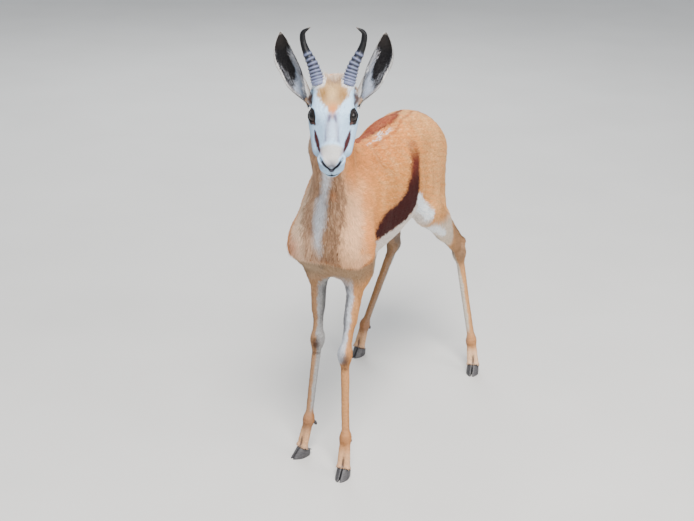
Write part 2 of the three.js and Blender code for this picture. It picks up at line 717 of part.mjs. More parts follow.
// Ears: a long leaf rolled into a cup, open forwards, with a closed root that stands on the head.
const earReach = [48, 67, 104];
const earLength = length(earReach);
const earHalfWidth = 22.3;
const earBow = 13.6;
const earThickness = 2.6;
const earRows = 11;
const earColumns = 9;
const earWidest = 0.57;
const earRootShare = 0.37;
function earLeaf(side) {
  const along = unit(earReach);
  const forward = unit([0.3, -0.62, 0.62]);
  const open = unit(add(forward, along, -dot(forward, along)));
  const across = cross(along, open);
  const outward = across[0] > 0 ? across : opposite(across);
  const sheet = (inner) =>
    Array.from({ length: earRows + 1 }, (_, row) => {
      const t = 1 - (1 - row / earRows) ** 1.3;
      const belowWidest = lerp(earRootShare, 1, Math.sin((Math.PI * Math.min(t / earWidest, 1)) / 2));
      const aboveWidest = (1 - (Math.max(t - earWidest, 0) / (1.01 - earWidest)) ** 1.7) ** 0.7;
      const roll = radians(lerp(150, 62, smooth(t, 0, 0.5)));
      const radius = (earHalfWidth * belowWidest * aboveWidest) / Math.sin(Math.min(roll, Math.PI / 2));
      const wall = inner ? lerp(earThickness, 1.2, t) : 0;
      const bow = earBow * Math.sin(Math.PI * t ** 1.3);
      const centre = add(add(add(earRoot, along, t * earLength), outward, bow), open, radius * 0.35);
      return Array.from({ length: earColumns + 1 }, (_, column) => {
        const a = lerp(-roll, roll, column / earColumns);
        const r = radius - wall;
        return toSide(add(add(centre, across, r * Math.sin(a)), open, -r * Math.cos(a)), side);
      });
    });
  return shell(sheet(false), sheet(true), side);
}

// Closes two matching sheets of points, a small distance apart, into one body.
function shell(outer, inner, side) {
  const rows = outer.length;
  const columns = outer[0].length;
  const points = [...outer.flat(), ...inner.flat()];
  const at = (sheet, row, column) => sheet * rows * columns + row * columns + column;
  const faces = [];
  const quad = (a, b, c, d) => faces.push([a, b, c], [a, c, d]);
  for (let r = 0; r + 1 < rows; r++) {
    for (let c = 0; c + 1 < columns; c++) {
      quad(at(0, r, c), at(0, r + 1, c), at(0, r + 1, c + 1), at(0, r, c + 1));
      quad(at(1, r, c), at(1, r, c + 1), at(1, r + 1, c + 1), at(1, r + 1, c));
    }
    quad(at(0, r, 0), at(1, r, 0), at(1, r + 1, 0), at(0, r + 1, 0));
    quad(at(0, r, columns - 1), at(0, r + 1, columns - 1), at(1, r + 1, columns - 1), at(1, r, columns - 1));
  }
  for (let c = 0; c + 1 < columns; c++) {
    quad(at(0, 0, c), at(0, 0, c + 1), at(1, 0, c + 1), at(1, 0, c));
    quad(at(0, rows - 1, c), at(1, rows - 1, c), at(1, rows - 1, c + 1), at(0, rows - 1, c + 1));
  }
  return geometryOf(points, side > 0 ? faces : faces.map((f) => [...f].reverse()));
}
for (const [name, side] of Object.entries(sides)) {
  const seat = toSide(earRoot, side);
  const rise = toSide(earRise, side);
  head = behind(head, seat, rise, 22);
  const plug = strand(
    [-6, 3, 8, 12].map((h) => toSide(add(earRoot, unit(earReach), h), side)),
    4,
    12,
    (t) => [lerp(12, 8, t), lerp(12, 8, t)],
  );
  const ear = solid(earLeaf(side)).add(solid(plug));
  keep(`ear_${name}`, behind(ear, seat, opposite(rise), 80), "ear", headGroup);
}
keep("head", head, "face", headGroup);
keep("torso", torso, "coat");
keep("neck", behind(neckSolid, headCut.point, opposite(headCut.facing)), "coat");

// Tail: a thin core that hangs from the croup, with a tuft of flat locks towards its end.
const tailPath = [[0, 268, 574], [0, 294, 566], [0, 309, 540], [0, 315, 490], [0, 313, 440], [0, 309, 400]];
const tuftLocks = 10;
function tailCore() {
  return strand(tailPath, 9, 6, (t) => [lerp(9, 3.2, t), lerp(8, 2.8, t)]);
}
function tuftLock(n) {
  const curve = new THREE.CatmullRomCurve3(tailPath.map((p) => new THREE.Vector3(...p)));
  const t = lerp(0.5, 0.98, (n + 0.5) / tuftLocks);
  const root = curve.getPointAt(t).toArray();
  const a = n * 2.4;
  const out = [Math.cos(a), Math.sin(a) * 0.7, 0];
  const reach = 40 + 10 * Math.sin(n * 1.7);
  const points = [
    add(root, out, 0.4),
    add(add(root, out, 5), [0, 0, -reach * 0.35]),
    add(add(root, out, 7), [0, 0, -reach * 0.7]),
    add(add(root, out, 5), [0, 0, -reach]),
  ];
  const flatAcross = [-Math.sin(a), Math.cos(a), 0];
  return strand(points, 3, 4, (u) => [lerp(5, 0.7, u ** 1.5), lerp(1.8, 0.5, u)], flatAcross);
}
let tail = solid(tailCore());
for (let n = 0; n < tuftLocks; n++) tail = tail.add(solid(tuftLock(n)));
tail = behind(tail, tailCut.point, opposite(tailCut.facing), 60);
keep("tail", tail, "tail");

// The floor under the middle of the animal's box is the origin.
const extent = new THREE.Box3().setFromObject(springbok, true);
const middle = extent.getCenter(new THREE.Vector3());
springbok.position.set(-middle.x, -middle.y, -extent.min.z);

export default springbok;
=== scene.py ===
import math

import bmesh
import bpy
import numpy as np
from mathutils import Matrix, Vector


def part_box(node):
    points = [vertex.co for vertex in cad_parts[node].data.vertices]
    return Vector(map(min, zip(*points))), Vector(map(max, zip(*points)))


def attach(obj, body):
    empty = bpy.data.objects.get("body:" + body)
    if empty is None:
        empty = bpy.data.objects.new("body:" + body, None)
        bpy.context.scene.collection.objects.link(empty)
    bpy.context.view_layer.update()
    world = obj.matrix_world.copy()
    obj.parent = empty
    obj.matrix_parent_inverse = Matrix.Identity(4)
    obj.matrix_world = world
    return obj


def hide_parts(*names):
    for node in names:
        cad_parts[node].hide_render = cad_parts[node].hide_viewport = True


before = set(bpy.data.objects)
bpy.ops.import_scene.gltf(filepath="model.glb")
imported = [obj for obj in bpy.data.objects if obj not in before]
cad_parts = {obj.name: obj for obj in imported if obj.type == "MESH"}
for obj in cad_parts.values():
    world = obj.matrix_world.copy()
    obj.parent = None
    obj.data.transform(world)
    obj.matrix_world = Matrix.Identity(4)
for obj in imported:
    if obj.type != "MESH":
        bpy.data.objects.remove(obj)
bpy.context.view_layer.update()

# Where the head and the animal stand
# Sizes are in millimetres, as in the part, with +X the animal's left and the muzzle towards -Y.
# The head is described level about a point midway between its eyes, then turned and set on the neck.
head_at = np.array([51.0, -340.0, 763.0])
head_turn = np.array(
    Matrix.Rotation(math.radians(20.5), 3, "Z")
    @ Matrix.Rotation(math.radians(-1), 3, "Y")
    @ Matrix.Rotation(math.radians(39), 3, "X")
)
eye_centre = np.array([28.5, -3.0, 1.0])
eye_box = np.array(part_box("eye_left"))
animal_shift = eye_box.mean(axis=0) * 1000 - (head_turn @ eye_centre + head_at)


def from_head(p):
    return np.asarray(p, float) @ head_turn.T + head_at


def to_head(p):
    return (np.asarray(p, float) - head_at) @ head_turn


def in_metres(p):
    return (np.asarray(p) + animal_shift) / 1000


# Camera, floor and light
# The camera stands above the animal's back, ahead of it and to its left, about 2.9 m away.
# The floor is a plain pale sheet, lit by a broad soft key light, two fills and a pale room.
camera_point = in_metres([973.84, -2559.02, 1396.68])
camera_azimuth = math.radians(21.9)
camera_elevation = math.radians(20.7)
camera_roll = math.radians(0.87)
image_width = 694
focal_pixels = 1401
back = Vector(
    (
        math.sin(camera_azimuth) * math.cos(camera_elevation),
        -math.cos(camera_azimuth) * math.cos(camera_elevation),
        math.sin(camera_elevation),
    )
)
level_right = (-back).cross(Vector((0, 0, 1))).normalized()
level_up = level_right.cross(-back)
right = level_right * math.cos(camera_roll) + level_up * math.sin(camera_roll)
up = level_up * math.cos(camera_roll) - level_right * math.sin(camera_roll)
camera = bpy.data.objects.new("camera", bpy.data.cameras.new("camera"))
camera.data.sensor_width = 36
camera.data.lens = camera.data.sensor_width * focal_pixels / image_width
turned = Matrix((right, up, back)).transposed().to_4x4()
camera.matrix_world = Matrix.Translation(Vector(camera_point)) @ turned
bpy.context.collection.objects.link(camera)
bpy.context.scene.camera = camera


def new_finish(name, roughness, shine=0.5):
    finish = bpy.data.materials.new(name)
    finish.use_nodes = True
    shader = finish.node_tree.nodes["Principled BSDF"]
    shader.inputs["Roughness"].default_value = roughness
    shader.inputs["Specular IOR Level"].default_value = shine
    return finish, finish.node_tree, shader


# a noise over the object's own place, stretched along Z where wanted
def add_noise(tree, scale, detail=2, stretch=1):
    place = tree.nodes.new("ShaderNodeTexCoord")
    mapping = tree.nodes.new("ShaderNodeMapping")
    mapping.inputs["Scale"].default_value = (1, 1, stretch)
    noise = tree.nodes.new("ShaderNodeTexNoise")
    noise.inputs["Scale"].default_value = scale
    noise.inputs["Detail"].default_value = detail
    tree.links.new(place.outputs["Object"], mapping.inputs["Vector"])
    tree.links.new(mapping.outputs["Vector"], noise.inputs["Vector"])
    return noise


# colours a surface by its noise, from a low colour to a high one
def paint_by_noise(tree, shader, noise, low, high):
    ramp = tree.nodes.new("ShaderNodeValToRGB")
    for element, (position, colour) in zip(ramp.color_ramp.elements, (low, high)):
        element.position = position
        element.color = (*colour, 1)
    tree.links.new(noise.outputs["Fac"], ramp.inputs["Fac"])
    tree.links.new(ramp.outputs["Color"], shader.inputs["Base Color"])


floor_half = 20
floor_corners = [(-floor_half, -floor_half, 0), (floor_half, -floor_half, 0), (floor_half, floor_half, 0)]
floor_corners.append((-floor_half, floor_half, 0))
floor_mesh = bpy.data.meshes.new("floor")
floor_mesh.from_pydata(floor_corners, [], [(0, 1, 2, 3)])
floor = bpy.data.objects.new("floor", floor_mesh)
bpy.context.collection.objects.link(floor)
floor_paint, tree, shader = new_finish("pale_floor", 0.9)
paint_by_noise(tree, shader, add_noise(tree, 3), (0, (0.55, 0.54, 0.52)), (1, (0.62, 0.61, 0.59)))
floor_mesh.materials.append(floor_paint)

world = bpy.data.worlds.new("room")
bpy.context.scene.world = world
world.use_nodes = True
world.node_tree.nodes["Background"].inputs["Color"].default_value = (0.86, 0.92, 1.0, 1)
world.node_tree.nodes["Background"].inputs["Strength"].default_value = 0.75


def soft_light(name, at, towards, size, power, tint):
    lamp = bpy.data.lights.new(name, "AREA")
    lamp.shape = "DISK"
    lamp.size = size
    lamp.energy = power
    lamp.color = tint
    thing = bpy.data.objects.new(name, lamp)
    thing.location = at
    aim = Vector(towards) - Vector(at)
    thing.rotation_euler = aim.to_track_quat("-Z", "Y").to_euler()
    bpy.context.collection.objects.link(thing)


soft_light("key_light", (1.1, -2.0, 3.6), (0, 0, 0.5), 1.6, 330, (1.0, 0.97, 0.93))
soft_light("side_light", (3.2, -0.6, 2.0), (0, 0, 0.45), 2.2, 80, (1.0, 0.95, 0.9))
soft_light("back_light", (-1.6, 3.0, 2.6), (0, 0, 0.5), 2.0, 90, (0.93, 0.97, 1.0))

# Flesh
# The body under the coat: muscles and bones that blend into each other, with the same joints and sizes
# as the solids. Each form gives how far a point lies outside it, and all are folded into one.
withers, croup = 648, 634
elbow_z, knee_z, fetlock_z = 412, 254, 78
stifle_z, hock_z, hind_fetlock_z = 436, 288, 74
coronet_z = 20
claw_half = 7.2


def muscle(p, a, b, radius_a, radius_b, flat=1.0):
    squeeze = np.array([1 / flat, 1, 1])
    start = np.array(a, float) * squeeze
    along = np.array(b, float) * squeeze - start
    q = p * squeeze - start
    t = np.clip(q @ along / (along @ along), 0, 1)
    gap = np.linalg.norm(q - t[:, None] * along, axis=1)
    return (gap - (radius_a + (radius_b - radius_a) * t)) * min(1, flat)


def mass(p, centre, radii, pitch=0):
    c, s = math.cos(math.radians(pitch)), math.sin(math.radians(pitch))
    q = p - np.array(centre, float)
    q = np.stack([q[:, 0], q[:, 1] * c + q[:, 2] * s, q[:, 2] * c - q[:, 1] * s], axis=1)
    radii = np.array(radii, float)
    near = np.linalg.norm(q / radii, axis=1)
    steep = np.linalg.norm(q / radii**2, axis=1)
    return near * (near - 1) / np.maximum(steep, 1e-6)


def to_left(p):
    return np.abs(p) * [1, 0, 0] + p * [0, 1, 1]


def both_sides(form):
    return lambda p, *sizes: form(to_left(p), *sizes)


def folded(p, forms):
    d = None
    for form, sizes, soft in forms:
        e = form(p, *sizes)
        if d is None:
            d = e
            continue
        h = np.maximum(soft - np.abs(d - e), 0) / soft
        d = np.minimum(d, e) - h * h * soft / 4
    return d


def moved(a, b):
    return [a[0] + b[0], a[1] + b[1], a[2] + b[2]]


def mid(a, b, t):
    return [a[i] + (b[i] - a[i]) * t for i in range(3)]


def foot_axes(turn):
    a = math.radians(turn)
    return np.array([math.sin(a), -math.cos(a), 0]), np.array([math.cos(a), math.sin(a), 0])


def digit_end(ground, turn, hand):
    ahead, across = foot_axes(turn)
    return list(np.array(ground) + across * hand * claw_half - 5 * ahead + [0, 0, coronet_z])


def foot_forms(fetlock, ground, turn):
    across = foot_axes(turn)[1]
    forms = [(mass, (fetlock, [12.5, 14.5, 16]), 9)]
    for hand in (1, -1):
        start = list(np.array(fetlock) + across * hand * 3.2)
        forms.append((muscle, (start, digit_end(ground, turn, hand), 8.8, 7.6), 4))
    for hand in (1, -1):
        forms.append((mass, (digit_end(ground, turn, hand), [8.2, 10.5, 8]), 5))
    return forms


# each leg: side, hip or shoulder, elbow or stifle, knee or hock, fetlock, place of the foot, and how far it
# turns out, in degrees
fore_legs = {
    "fore_left": (
        1, [46, -222, 476], [42, -184, elbow_z], [38, -234, knee_z],
        [48, -250, fetlock_z], [51, -271, 0], 2,
    ),
    "fore_right": (
        -1, [-46, -220, 476], [-44, -178, elbow_z], [-41, -186, knee_z],
        [-52, -204, fetlock_z], [-63, -222, 0], 27,
    ),
}
hind_legs = {
    "hind_left": (
        1, [36, 216, 545], [59, 176, stifle_z], [91, 322, hock_z],
        [131, 320, hind_fetlock_z], [142, 304, 0], 10,
    ),
    "hind_right": (
        -1, [-36, 216, 545], [-58, 174, stifle_z], [-64, 312, hock_z],
        [-130, 306, hind_fetlock_z], [-139, 288, 0], 8,
    ),
}
all_legs = {**fore_legs, **hind_legs}
neck_root, neck_middle, neck_top = [0, -184, 570], [6, -238, 676], [38, -280, 772]
body_forms = [
    (mass, ([0, -50, 512], [75, 206, 117], 1), 20),
    (mass, ([0, 76, 516], [71, 150, 96], -5), 50),
    (mass, ([0, 190, 558], [45, 108, 72], 8), 50),
    (mass, ([0, -196, 484], [44, 62, 86], 14), 45),
    (muscle, ([0, -165, withers - 32], [0, -50, 594], 24, 28), 36),
    (muscle, ([0, -50, 594], [0, 170, croup - 36], 28, 34), 36),
    (muscle, ([0, 185, 584], [0, 262, 566], 38, 22), 40),
    (mass, ([0, 105, 580], [54, 80, 56]), 40),
    (muscle, (neck_root, neck_middle, 72, 46, 0.68), 40),
    (muscle, (neck_middle, neck_top, 45.5, 30, 0.72), 26),
]
for side, shoulder, elbow, knee, fetlock, ground, toe_out in fore_legs.values():
    body_forms += [
        (muscle, ([side * 26, -130, 612], shoulder, 28, 36, 0.8), 34),
        (muscle, (shoulder, elbow, 36, 25, 0.85), 34),
        (muscle, ([side * 40, -112, 546], moved(elbow, [0, 12, 8]), 40, 24, 0.75), 34),
        (muscle, (elbow, mid(elbow, knee, 0.55), 22, 15, 0.64), 22),
        (muscle, (moved(elbow, [0, 8, 6]), knee, 18, 14.5, 0.68), 14),
        (mass, (knee, [12.8, 15, 21]), 10),
        (muscle, (knee, fetlock, 10.5, 9.5, 0.92), 12),
        (muscle, (moved(knee, [0, 11, -24]), moved(fetlock, [0, 10, 8]), 5.5, 6, 0.85), 7),
        *foot_forms(fetlock, ground, toe_out * side),
    ]
for side, hip, stifle, hock, fetlock, ground, toe_out in hind_legs.values():
    heel = moved(hock, [0, 18, 22])
    ham_end = mid(stifle, hock, 0.42)
    body_forms += [
        (muscle, (hip, stifle, 58, 27, 0.64), 44),
        (muscle, ([side * 34, 256, 536], moved(ham_end, [side * -10, 20, 28]), 36, 18, 0.8), 34),
        (muscle, ([side * 50, 130, 506], stifle, 21, 23, 0.6), 34),
        (muscle, (stifle, mid(stifle, hock, 0.5), 26, 21, 0.72), 28),
        (muscle, (mid(stifle, hock, 0.2), hock, 25, 12.5, 0.8), 16),
        (muscle, (moved(ham_end, [0, 16, 20]), heel, 10, 6, 0.8), 16),
        (muscle, (moved(mid(stifle, hock, 0.6), [0, 14, 12]), moved(hock, [0, 13, 12]), 13, 9, 0.6), 12),
        (muscle, (hock, heel, 12, 8.5, 0.85), 9),
        (mass, (hock, [14, 16, 19]), 9),
        (muscle, (hock, fetlock, 11.5, 10, 0.9), 13),
        (muscle, (moved(hock, [0, 14, -14]), moved(fetlock, [0, 10, 8]), 7, 6, 0.8), 8),
        *foot_forms(fetlock, ground, toe_out * side),
    ]


def unit(v):
    v = np.array(v, float)
    size = np.linalg.norm(v) if v.ndim == 1 else np.linalg.norm(v, axis=-1, keepdims=True)
    return v / np.maximum(size, 1e-9)


horn_root = np.array([26.5, 51.0, 27.0])
horn_rise = unit([0.28, 0.78, 0.56])
ear_root = np.array([44.0, 43.0, -13.0])
ear_rise = unit([0.5, 0.66, 0.56])
head_forms = [
    (mass, ([0, 42, -6], [36, 47, 36], 0), 20),
    (both_sides(muscle), ([16, 40, 12], [23, -4, 11], 16, 14), 14),
    (muscle, ([0, -12, -9], [0, -70, -8], 31, 19.5, 1.08), 22),
    (muscle, ([0, -2, 7], [0, -80, 2], 16, 12), 14),
    (both_sides(muscle), ([27, 10, -23], [22.5, -62, -19], 20, 14), 16),
    (both_sides(mass), ([23, 34, -30], [13, 24, 20], 20), 14),
    (muscle, ([0, -76, -6], [0, -94, -6], 19, 19, 1.18), 12),
    (both_sides(mass), ([13, -96, -1], [11.5, 15, 11]), 8),
    (both_sides(muscle), ([12, -100, -14], [15, -84, -17], 10.5, 9), 6),
    (muscle, ([0, 16, -40], [0, -86, -26], 12, 9, 1.3), 14),
    (mass, ([0, -99, -29], [14.5, 12.5, 9.5]), 6),
    (mass, ([0, -100, -20], [17, 13.5, 12]), 8),
    (both_sides(mass), (eye_centre, [17.2, 19, 17]), 6),
    (both_sides(muscle), ([27, 24, 13], [32, -6, 14], 9, 6), 8),
    (both_sides(muscle), ([18, 40, 12], list(horn_root + 4 * horn_rise), 15, 12), 12),
    (both_sides(muscle), ([24, 42, -10], list(ear_root + 8 * ear_rise), 17, 13.5), 12),
]
body_forms += [
    (lambda p: folded(to_head(p), head_forms), (), 26),
    (muscle, ([0, 258, 572], [0, 284, 574], 15, 9), 16),
]


def eased(x, low, high):
    t = np.clip((x - low) / (high - low), 0, 1)
    return t * t * (3 - 2 * t)


# 1 where all the values are 0, fading to nearly nothing where one of them is 2
def bell(*values):
    return np.exp(-sum(v**2 for v in values))


def coat_depth(p):
    h = to_head(p)
    on_trunk = eased(p[:, 2], 385, 450)
    from_face = eased(h[:, 1] + 0.6 * h[:, 2], 40, 110)
    breast = np.exp(-((p[:, 1] + 235) ** 2 / 50**2 + (p[:, 2] - 490) ** 2 / 60**2))
    crown = bell(h[:, 0] / 19, (h[:, 1] - 50) / 15) * eased(h[:, 2], 0, 12)
    return 1.6 + on_trunk * from_face * (2.4 + 2.5 * breast) + 5 * crown


def laid_on_flesh(p, sunk, rounds):
    for _ in range(rounds):
        d = folded(p, body_forms)
        step = 0.3
        grade = np.stack([(folded(p + step * np.eye(3)[k], body_forms) - d) / step for k in range(3)], axis=1)
        p = p - grade * ((d + sunk) / np.maximum((grade**2).sum(axis=1), 0.3))[:, None]
    return p


# Skin
# One closed hide from muzzle to coronets, lying inside the solids by the depth of the coat. It is remeshed
# over the solids' own nodes, made finer on the head and feet, and laid on the flesh; lids, nostrils, lips,
# folds and tendons are then pressed into it.
hide_cell = 0.0044
own_pieces = ("horn", "ear", "eye", "tail")
flesh_nodes = [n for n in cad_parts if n.split("_")[0] not in own_pieces and "claw" not in n]
start = bmesh.new()
for name in flesh_nodes + ["eye_left", "eye_right"]:
    start.from_mesh(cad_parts[name].data)
bmesh.ops.remove_doubles(start, verts=start.verts, dist=1e-6)
start.normal_update()
for v in start.verts:
    v.co += v.normal * 0.0005
rough_mesh = bpy.data.meshes.new("rough_skin")
start.to_mesh(rough_mesh)
start.free()
rough = bpy.data.objects.new("rough_skin", rough_mesh)
bpy.context.collection.objects.link(rough)
remesh = rough.modifiers.new("one_skin", "REMESH")
remesh.mode = "VOXEL"
remesh.voxel_size = hide_cell
bpy.context.view_layer.update()
even = bpy.data.meshes.new_from_object(rough.evaluated_get(bpy.context.evaluated_depsgraph_get()))
bpy.data.objects.remove(rough)
net = bmesh.new()
net.from_mesh(even)


def split_finer(net, wanted):
    co = np.array([v.co[:] for v in net.verts]) * 1000 - animal_shift
    inside = wanted(co)
    net.verts.ensure_lookup_table()
    net.verts.index_update()
    edges = [e for e in net.edges if inside[e.verts[0].index] and inside[e.verts[1].index]]
    bmesh.ops.subdivide_edges(net, edges=edges, cuts=1, use_grid_fill=True)


def on_head(p):
    h = to_head(p)
    return (h[:, 1] + 0.6 * h[:, 2] < 95) & (h[:, 1] < 95) & (p[:, 2] > 600)


def on_fine_face(p):
    h = to_head(p)
    by_eye = np.linalg.norm(to_left(h) - eye_centre, axis=1) < 27
    return by_eye | ((h[:, 1] < -72) & (p[:, 2] > 600))


split_finer(net, lambda p: on_head(p) | (p[:, 2] < 112))
split_finer(net, on_fine_face)
bmesh.ops.triangulate(net, faces=[f for f in net.faces if len(f.verts) > 4])
net.verts.index_update()
skin_points = np.array([v.co[:] for v in net.verts]) * 1000 - animal_shift
bmesh.ops.triangulate(net, faces=net.faces)
skin_faces = np.array([[v.index for v in f.verts] for f in net.faces])
net.free()


def normals_of(points, faces):
    a, b, c = (points[faces[:, k]] for k in range(3))
    flat = np.cross(b - a, c - a)
    out = np.zeros_like(points)
    for k in range(3):
        for axis in range(3):
            out[:, axis] += np.bincount(faces[:, k], weights=flat[:, axis], minlength=len(points))
    return unit(out)


skin_points = laid_on_flesh(skin_points, coat_depth(skin_points), 4)
skin_normals = normals_of(skin_points, skin_faces)


# how far each point is from a line of points, and how far along it the nearest place lies
def from_line(p, line):
    line = np.array(line, float)
    best = np.full(len(p), 1e9)
    where = np.zeros(len(p))
    for i in range(len(line) - 1):
        along = line[i + 1] - line[i]
        t = np.clip((p - line[i]) @ along / (along @ along), 0, 1)
        gap = np.linalg.norm(p - line[i] - t[:, None] * along, axis=1)
        closer = gap < best
        best = np.where(closer, gap, best)
        where = np.where(closer, (i + t) / (len(line) - 1), where)
    return best, where


gaze = unit([0.72, -0.4, 0.57])
lid_up = np.array([0, -0.12, 1.0])
lid_up = unit(lid_up - gaze * (lid_up @ gaze))
lid_back = np.cross(lid_up, gaze)
eye_radius = 15.0
lid_half = 14.5


# the almond between the lids: above 0 inside it, falling below 0 in about millimetres outside
def in_almond(h):
    q = to_left(h) - eye_centre
    u, v = q @ lid_back, q @ lid_up
    middle = -1.2 + 0.05 * u
    room = np.clip(1 - (u / lid_half) ** 2, 0, 1)
    upper = 9.3 * room**0.72
    lower = 8.6 * room**0.8
    rise = np.where(v > middle, upper - (v - middle), lower - (middle - v))
    past_corner = np.maximum(np.abs(u) - lid_half, 0)
    inside = np.where(past_corner > 0, -np.hypot(past_corner, v - middle), rise)
    return np.where(q @ gaze > 0, inside, -30), q


# draws a line of points in the head's own frame onto the hide
def on_hide(line):
    line = np.array(line, float)
    run = np.linspace(0, len(line) - 1, 4 * len(line) - 3)
    p = np.stack([np.interp(run, np.arange(len(line)), line[:, k]) for k in range(3)], axis=1)
    p = from_head(p)
    return to_head(laid_on_flesh(p, coat_depth(p), 3))


nostril_line = on_hide([[20.5, -98, 7], [15.5, -105, 5.5], [8, -111.5, -1.5], [0, -114, -11]])
philtrum_line = on_hide([[0, -114, -11], [0, -114, -17], [0, -113, -23]])
mouth_line = on_hide(
    [[0, -112, -25], [8, -111, -24.5], [15, -106, -21.5], [20, -97, -20], [25, -82, -20.5], [29, -62, -19.5]]
)
tear_line = on_hide([[34.5, -17, 4], [33, -23.5, 4]])
cheek_line = on_hide(
    [[32.5, -33, -1], [30.5, -42, -2], [28, -52, -2], [25.5, -63, -0.5], [23, -75, 2], [21, -84, 4]]
)
bridge_line = on_hide([[4.5, -21, 25], [6, -28, 23], [8.5, -38, 20], [10, -52, 17], [11.5, -66, 15]])
brow_line = on_hide([[38, 7, 6], [40.5, 14, 1], [42, 22, -3], [42.5, 29, 0], [40, 35, 8]])


def press_in(p, n):
    h = to_head(p)
    left = to_left(h)
    push = np.zeros(len(p))
    d, t = from_line(left, nostril_line)
    wide = 1.7 + 0.9 * np.exp(-((t - 0.2) ** 2) / 0.03)
    push -= (2.6 - 1.3 * t) * bell(d / wide)
    push += 1.4 * bell((d - 5) / 3) * (left[:, 2] > 2)
    d, t = from_line(left, philtrum_line)
    push -= 0.9 * bell(d / 1.5)
    d, t = from_line(left, mouth_line)
    push -= (2.4 - 1.2 * t) * bell(d / 1.3)
    push += 0.9 * bell((d - 4) / 2.4) * (1 - t)
    d, t = from_line(left, tear_line)
    push -= 1.3 * bell(d / 2.2)
    for side, _, _, knee, fetlock, _, _ in fore_legs.values():
        for hand in (side, -side):
            d, t = from_line(p, [moved(knee, [hand * 7, 8, -26]), moved(fetlock, [hand * 7, 6, 14])])
            push -= 0.9 * bell(d / 4)
    for side, _, stifle, hock, fetlock, _, _ in hind_legs.values():
        hollow = mid(stifle, moved(hock, [0, 20, 16]), 0.72)
        d, t = from_line(p, [moved(hollow, [side * 8, 4, 4]), moved(hock, [side * 9, 10, 10])])
        push -= 1.6 * bell(d / 6)
        d, t = from_line(p, [moved(hock, [side * 8, 8, -26]), moved(fetlock, [side * 8, 5, 14])])
        push -= 0.9 * bell(d / 4)
        hip_bone = [side * 48, 118, 604]
        d = np.linalg.norm((p - hip_bone) / [16, 26, 15], axis=1)
        push += 3.0 * bell(d)
        d, t = from_line(p, [[side * 76, 120, 520], [side * 66, 112, 476], [side * 52, 104, 440]])
        push -= 2.0 * bell(d / 11)
        push += 1.5 * bell((d - 20) / 10) * (p[:, 1] > 118)
    for side in (1, -1):
        d, t = from_line(p, [[side * 34, -112, 632], [side * 62, -150, 560], [side * 70, -182, 500]])
        push -= 1.3 * bell(d / 12)
        for rib in range(5):
            y = -70 + rib * 27
            d, t = from_line(p, [[side * 60, y - 6, 590], [side * 77, y + 4, 520], [side * 60, y - 4, 452]])
            push += 0.6 * bell(d / 8)
    return p + n * push[:, None]


skin_points = press_in(skin_points, skin_normals)
skin_normals = normals_of(skin_points, skin_faces)

# lids: a thin raised rim round the almond, and a socket behind it that holds the eyeball
head_points = to_head(skin_points)
almond, from_eye = in_almond(head_points)
reach = np.linalg.norm(from_eye, axis=1)
by_eye = reach < 30
rim = eye_radius + 1.3 - 0.25 * np.clip(-almond, 0, 12)
rim = np.where(almond < 0, np.maximum(reach, np.where(almond > -4, rim, 0)), eye_radius - 4.5)
settled = eye_centre + from_eye / reach[:, None] * rim[:, None]
settled[:, 0] *= np.where(head_points[:, 0] < 0, -1, 1)
near_lids = by_eye & (almond > -6)
skin_points[near_lids] = from_head(settled[near_lids])

# Ears
# Long leaves of gristle and skin rolled into cups, open forwards, part of the same hide. Each is a thin
# closed shell whose rolled root narrows into the side of the head behind the eye.
ear_reach = np.array([48.0, 67.0, 104.0])
ear_length = np.linalg.norm(ear_reach)
ear_along = ear_reach / ear_length
ear_open = np.array([0.3, -0.62, 0.62])
ear_open = unit(ear_open - ear_along * (ear_open @ ear_along))
ear_out = np.cross(ear_along, ear_open)
ear_out *= np.sign(ear_out[0])
ear_half, ear_bow, ear_widest, ear_root_share = 21.8, 13.6, 0.57, 0.42


# a point of the ear at share t of its length and c across it, from -1 to 1, on its outer or inner face
def ear_place(t, c, inner):
    drawn_in = 0.9 + 0.1 * eased(t, -0.06, 0.1)
    t = np.maximum(t, 0)
    opened = np.sin(np.pi * np.minimum(t / ear_widest, 1) / 2)
    below = drawn_in * (ear_root_share + (1 - ear_root_share) * opened)
    above = np.maximum(1 - (np.maximum(t - ear_widest, 0) / (1.01 - ear_widest)) ** 1.7, 0) ** 0.7
    roll = np.radians(150 + (62 - 150) * eased(t, 0, 0.5))
    radius = ear_half * below * above / np.sin(np.minimum(roll, np.pi / 2))
    wall = 0.7 + inner * (1.6 - 0.9 * t) * np.clip(1.15 - np.abs(c) ** 6, 0.1, 1)
    bow = ear_bow * np.sin(np.pi * t**1.3)
    centre = ear_root + ear_along * (t * ear_length)[..., None] + ear_out * bow[..., None]
    centre = centre + ear_open * (radius * 0.35)[..., None]
    fold = 0.8 * np.sin(c * 9 + 1.0) * np.exp(-((t - 0.3) ** 2) / 0.05) * inner * np.clip(1 - c**6, 0, 1)
    r = np.maximum(radius - wall - fold, 0.2)
    across = np.cross(ear_along, ear_open)
    return centre + across * (r * np.sin(c * roll))[..., None] - ear_open * (r * np.cos(c * roll))[..., None]


def in_triangles(quads):
    return np.concatenate([quads[:, [0, 1, 2]], quads[:, [0, 2, 3]]])


def facing_out(points, faces):
    a, b, c = (points[faces[:, k]] for k in range(3))
    volume = (np.cross(b - a, c - a) * (a - points.mean(axis=0))).sum()
    return faces if volume > 0 else faces[:, ::-1]


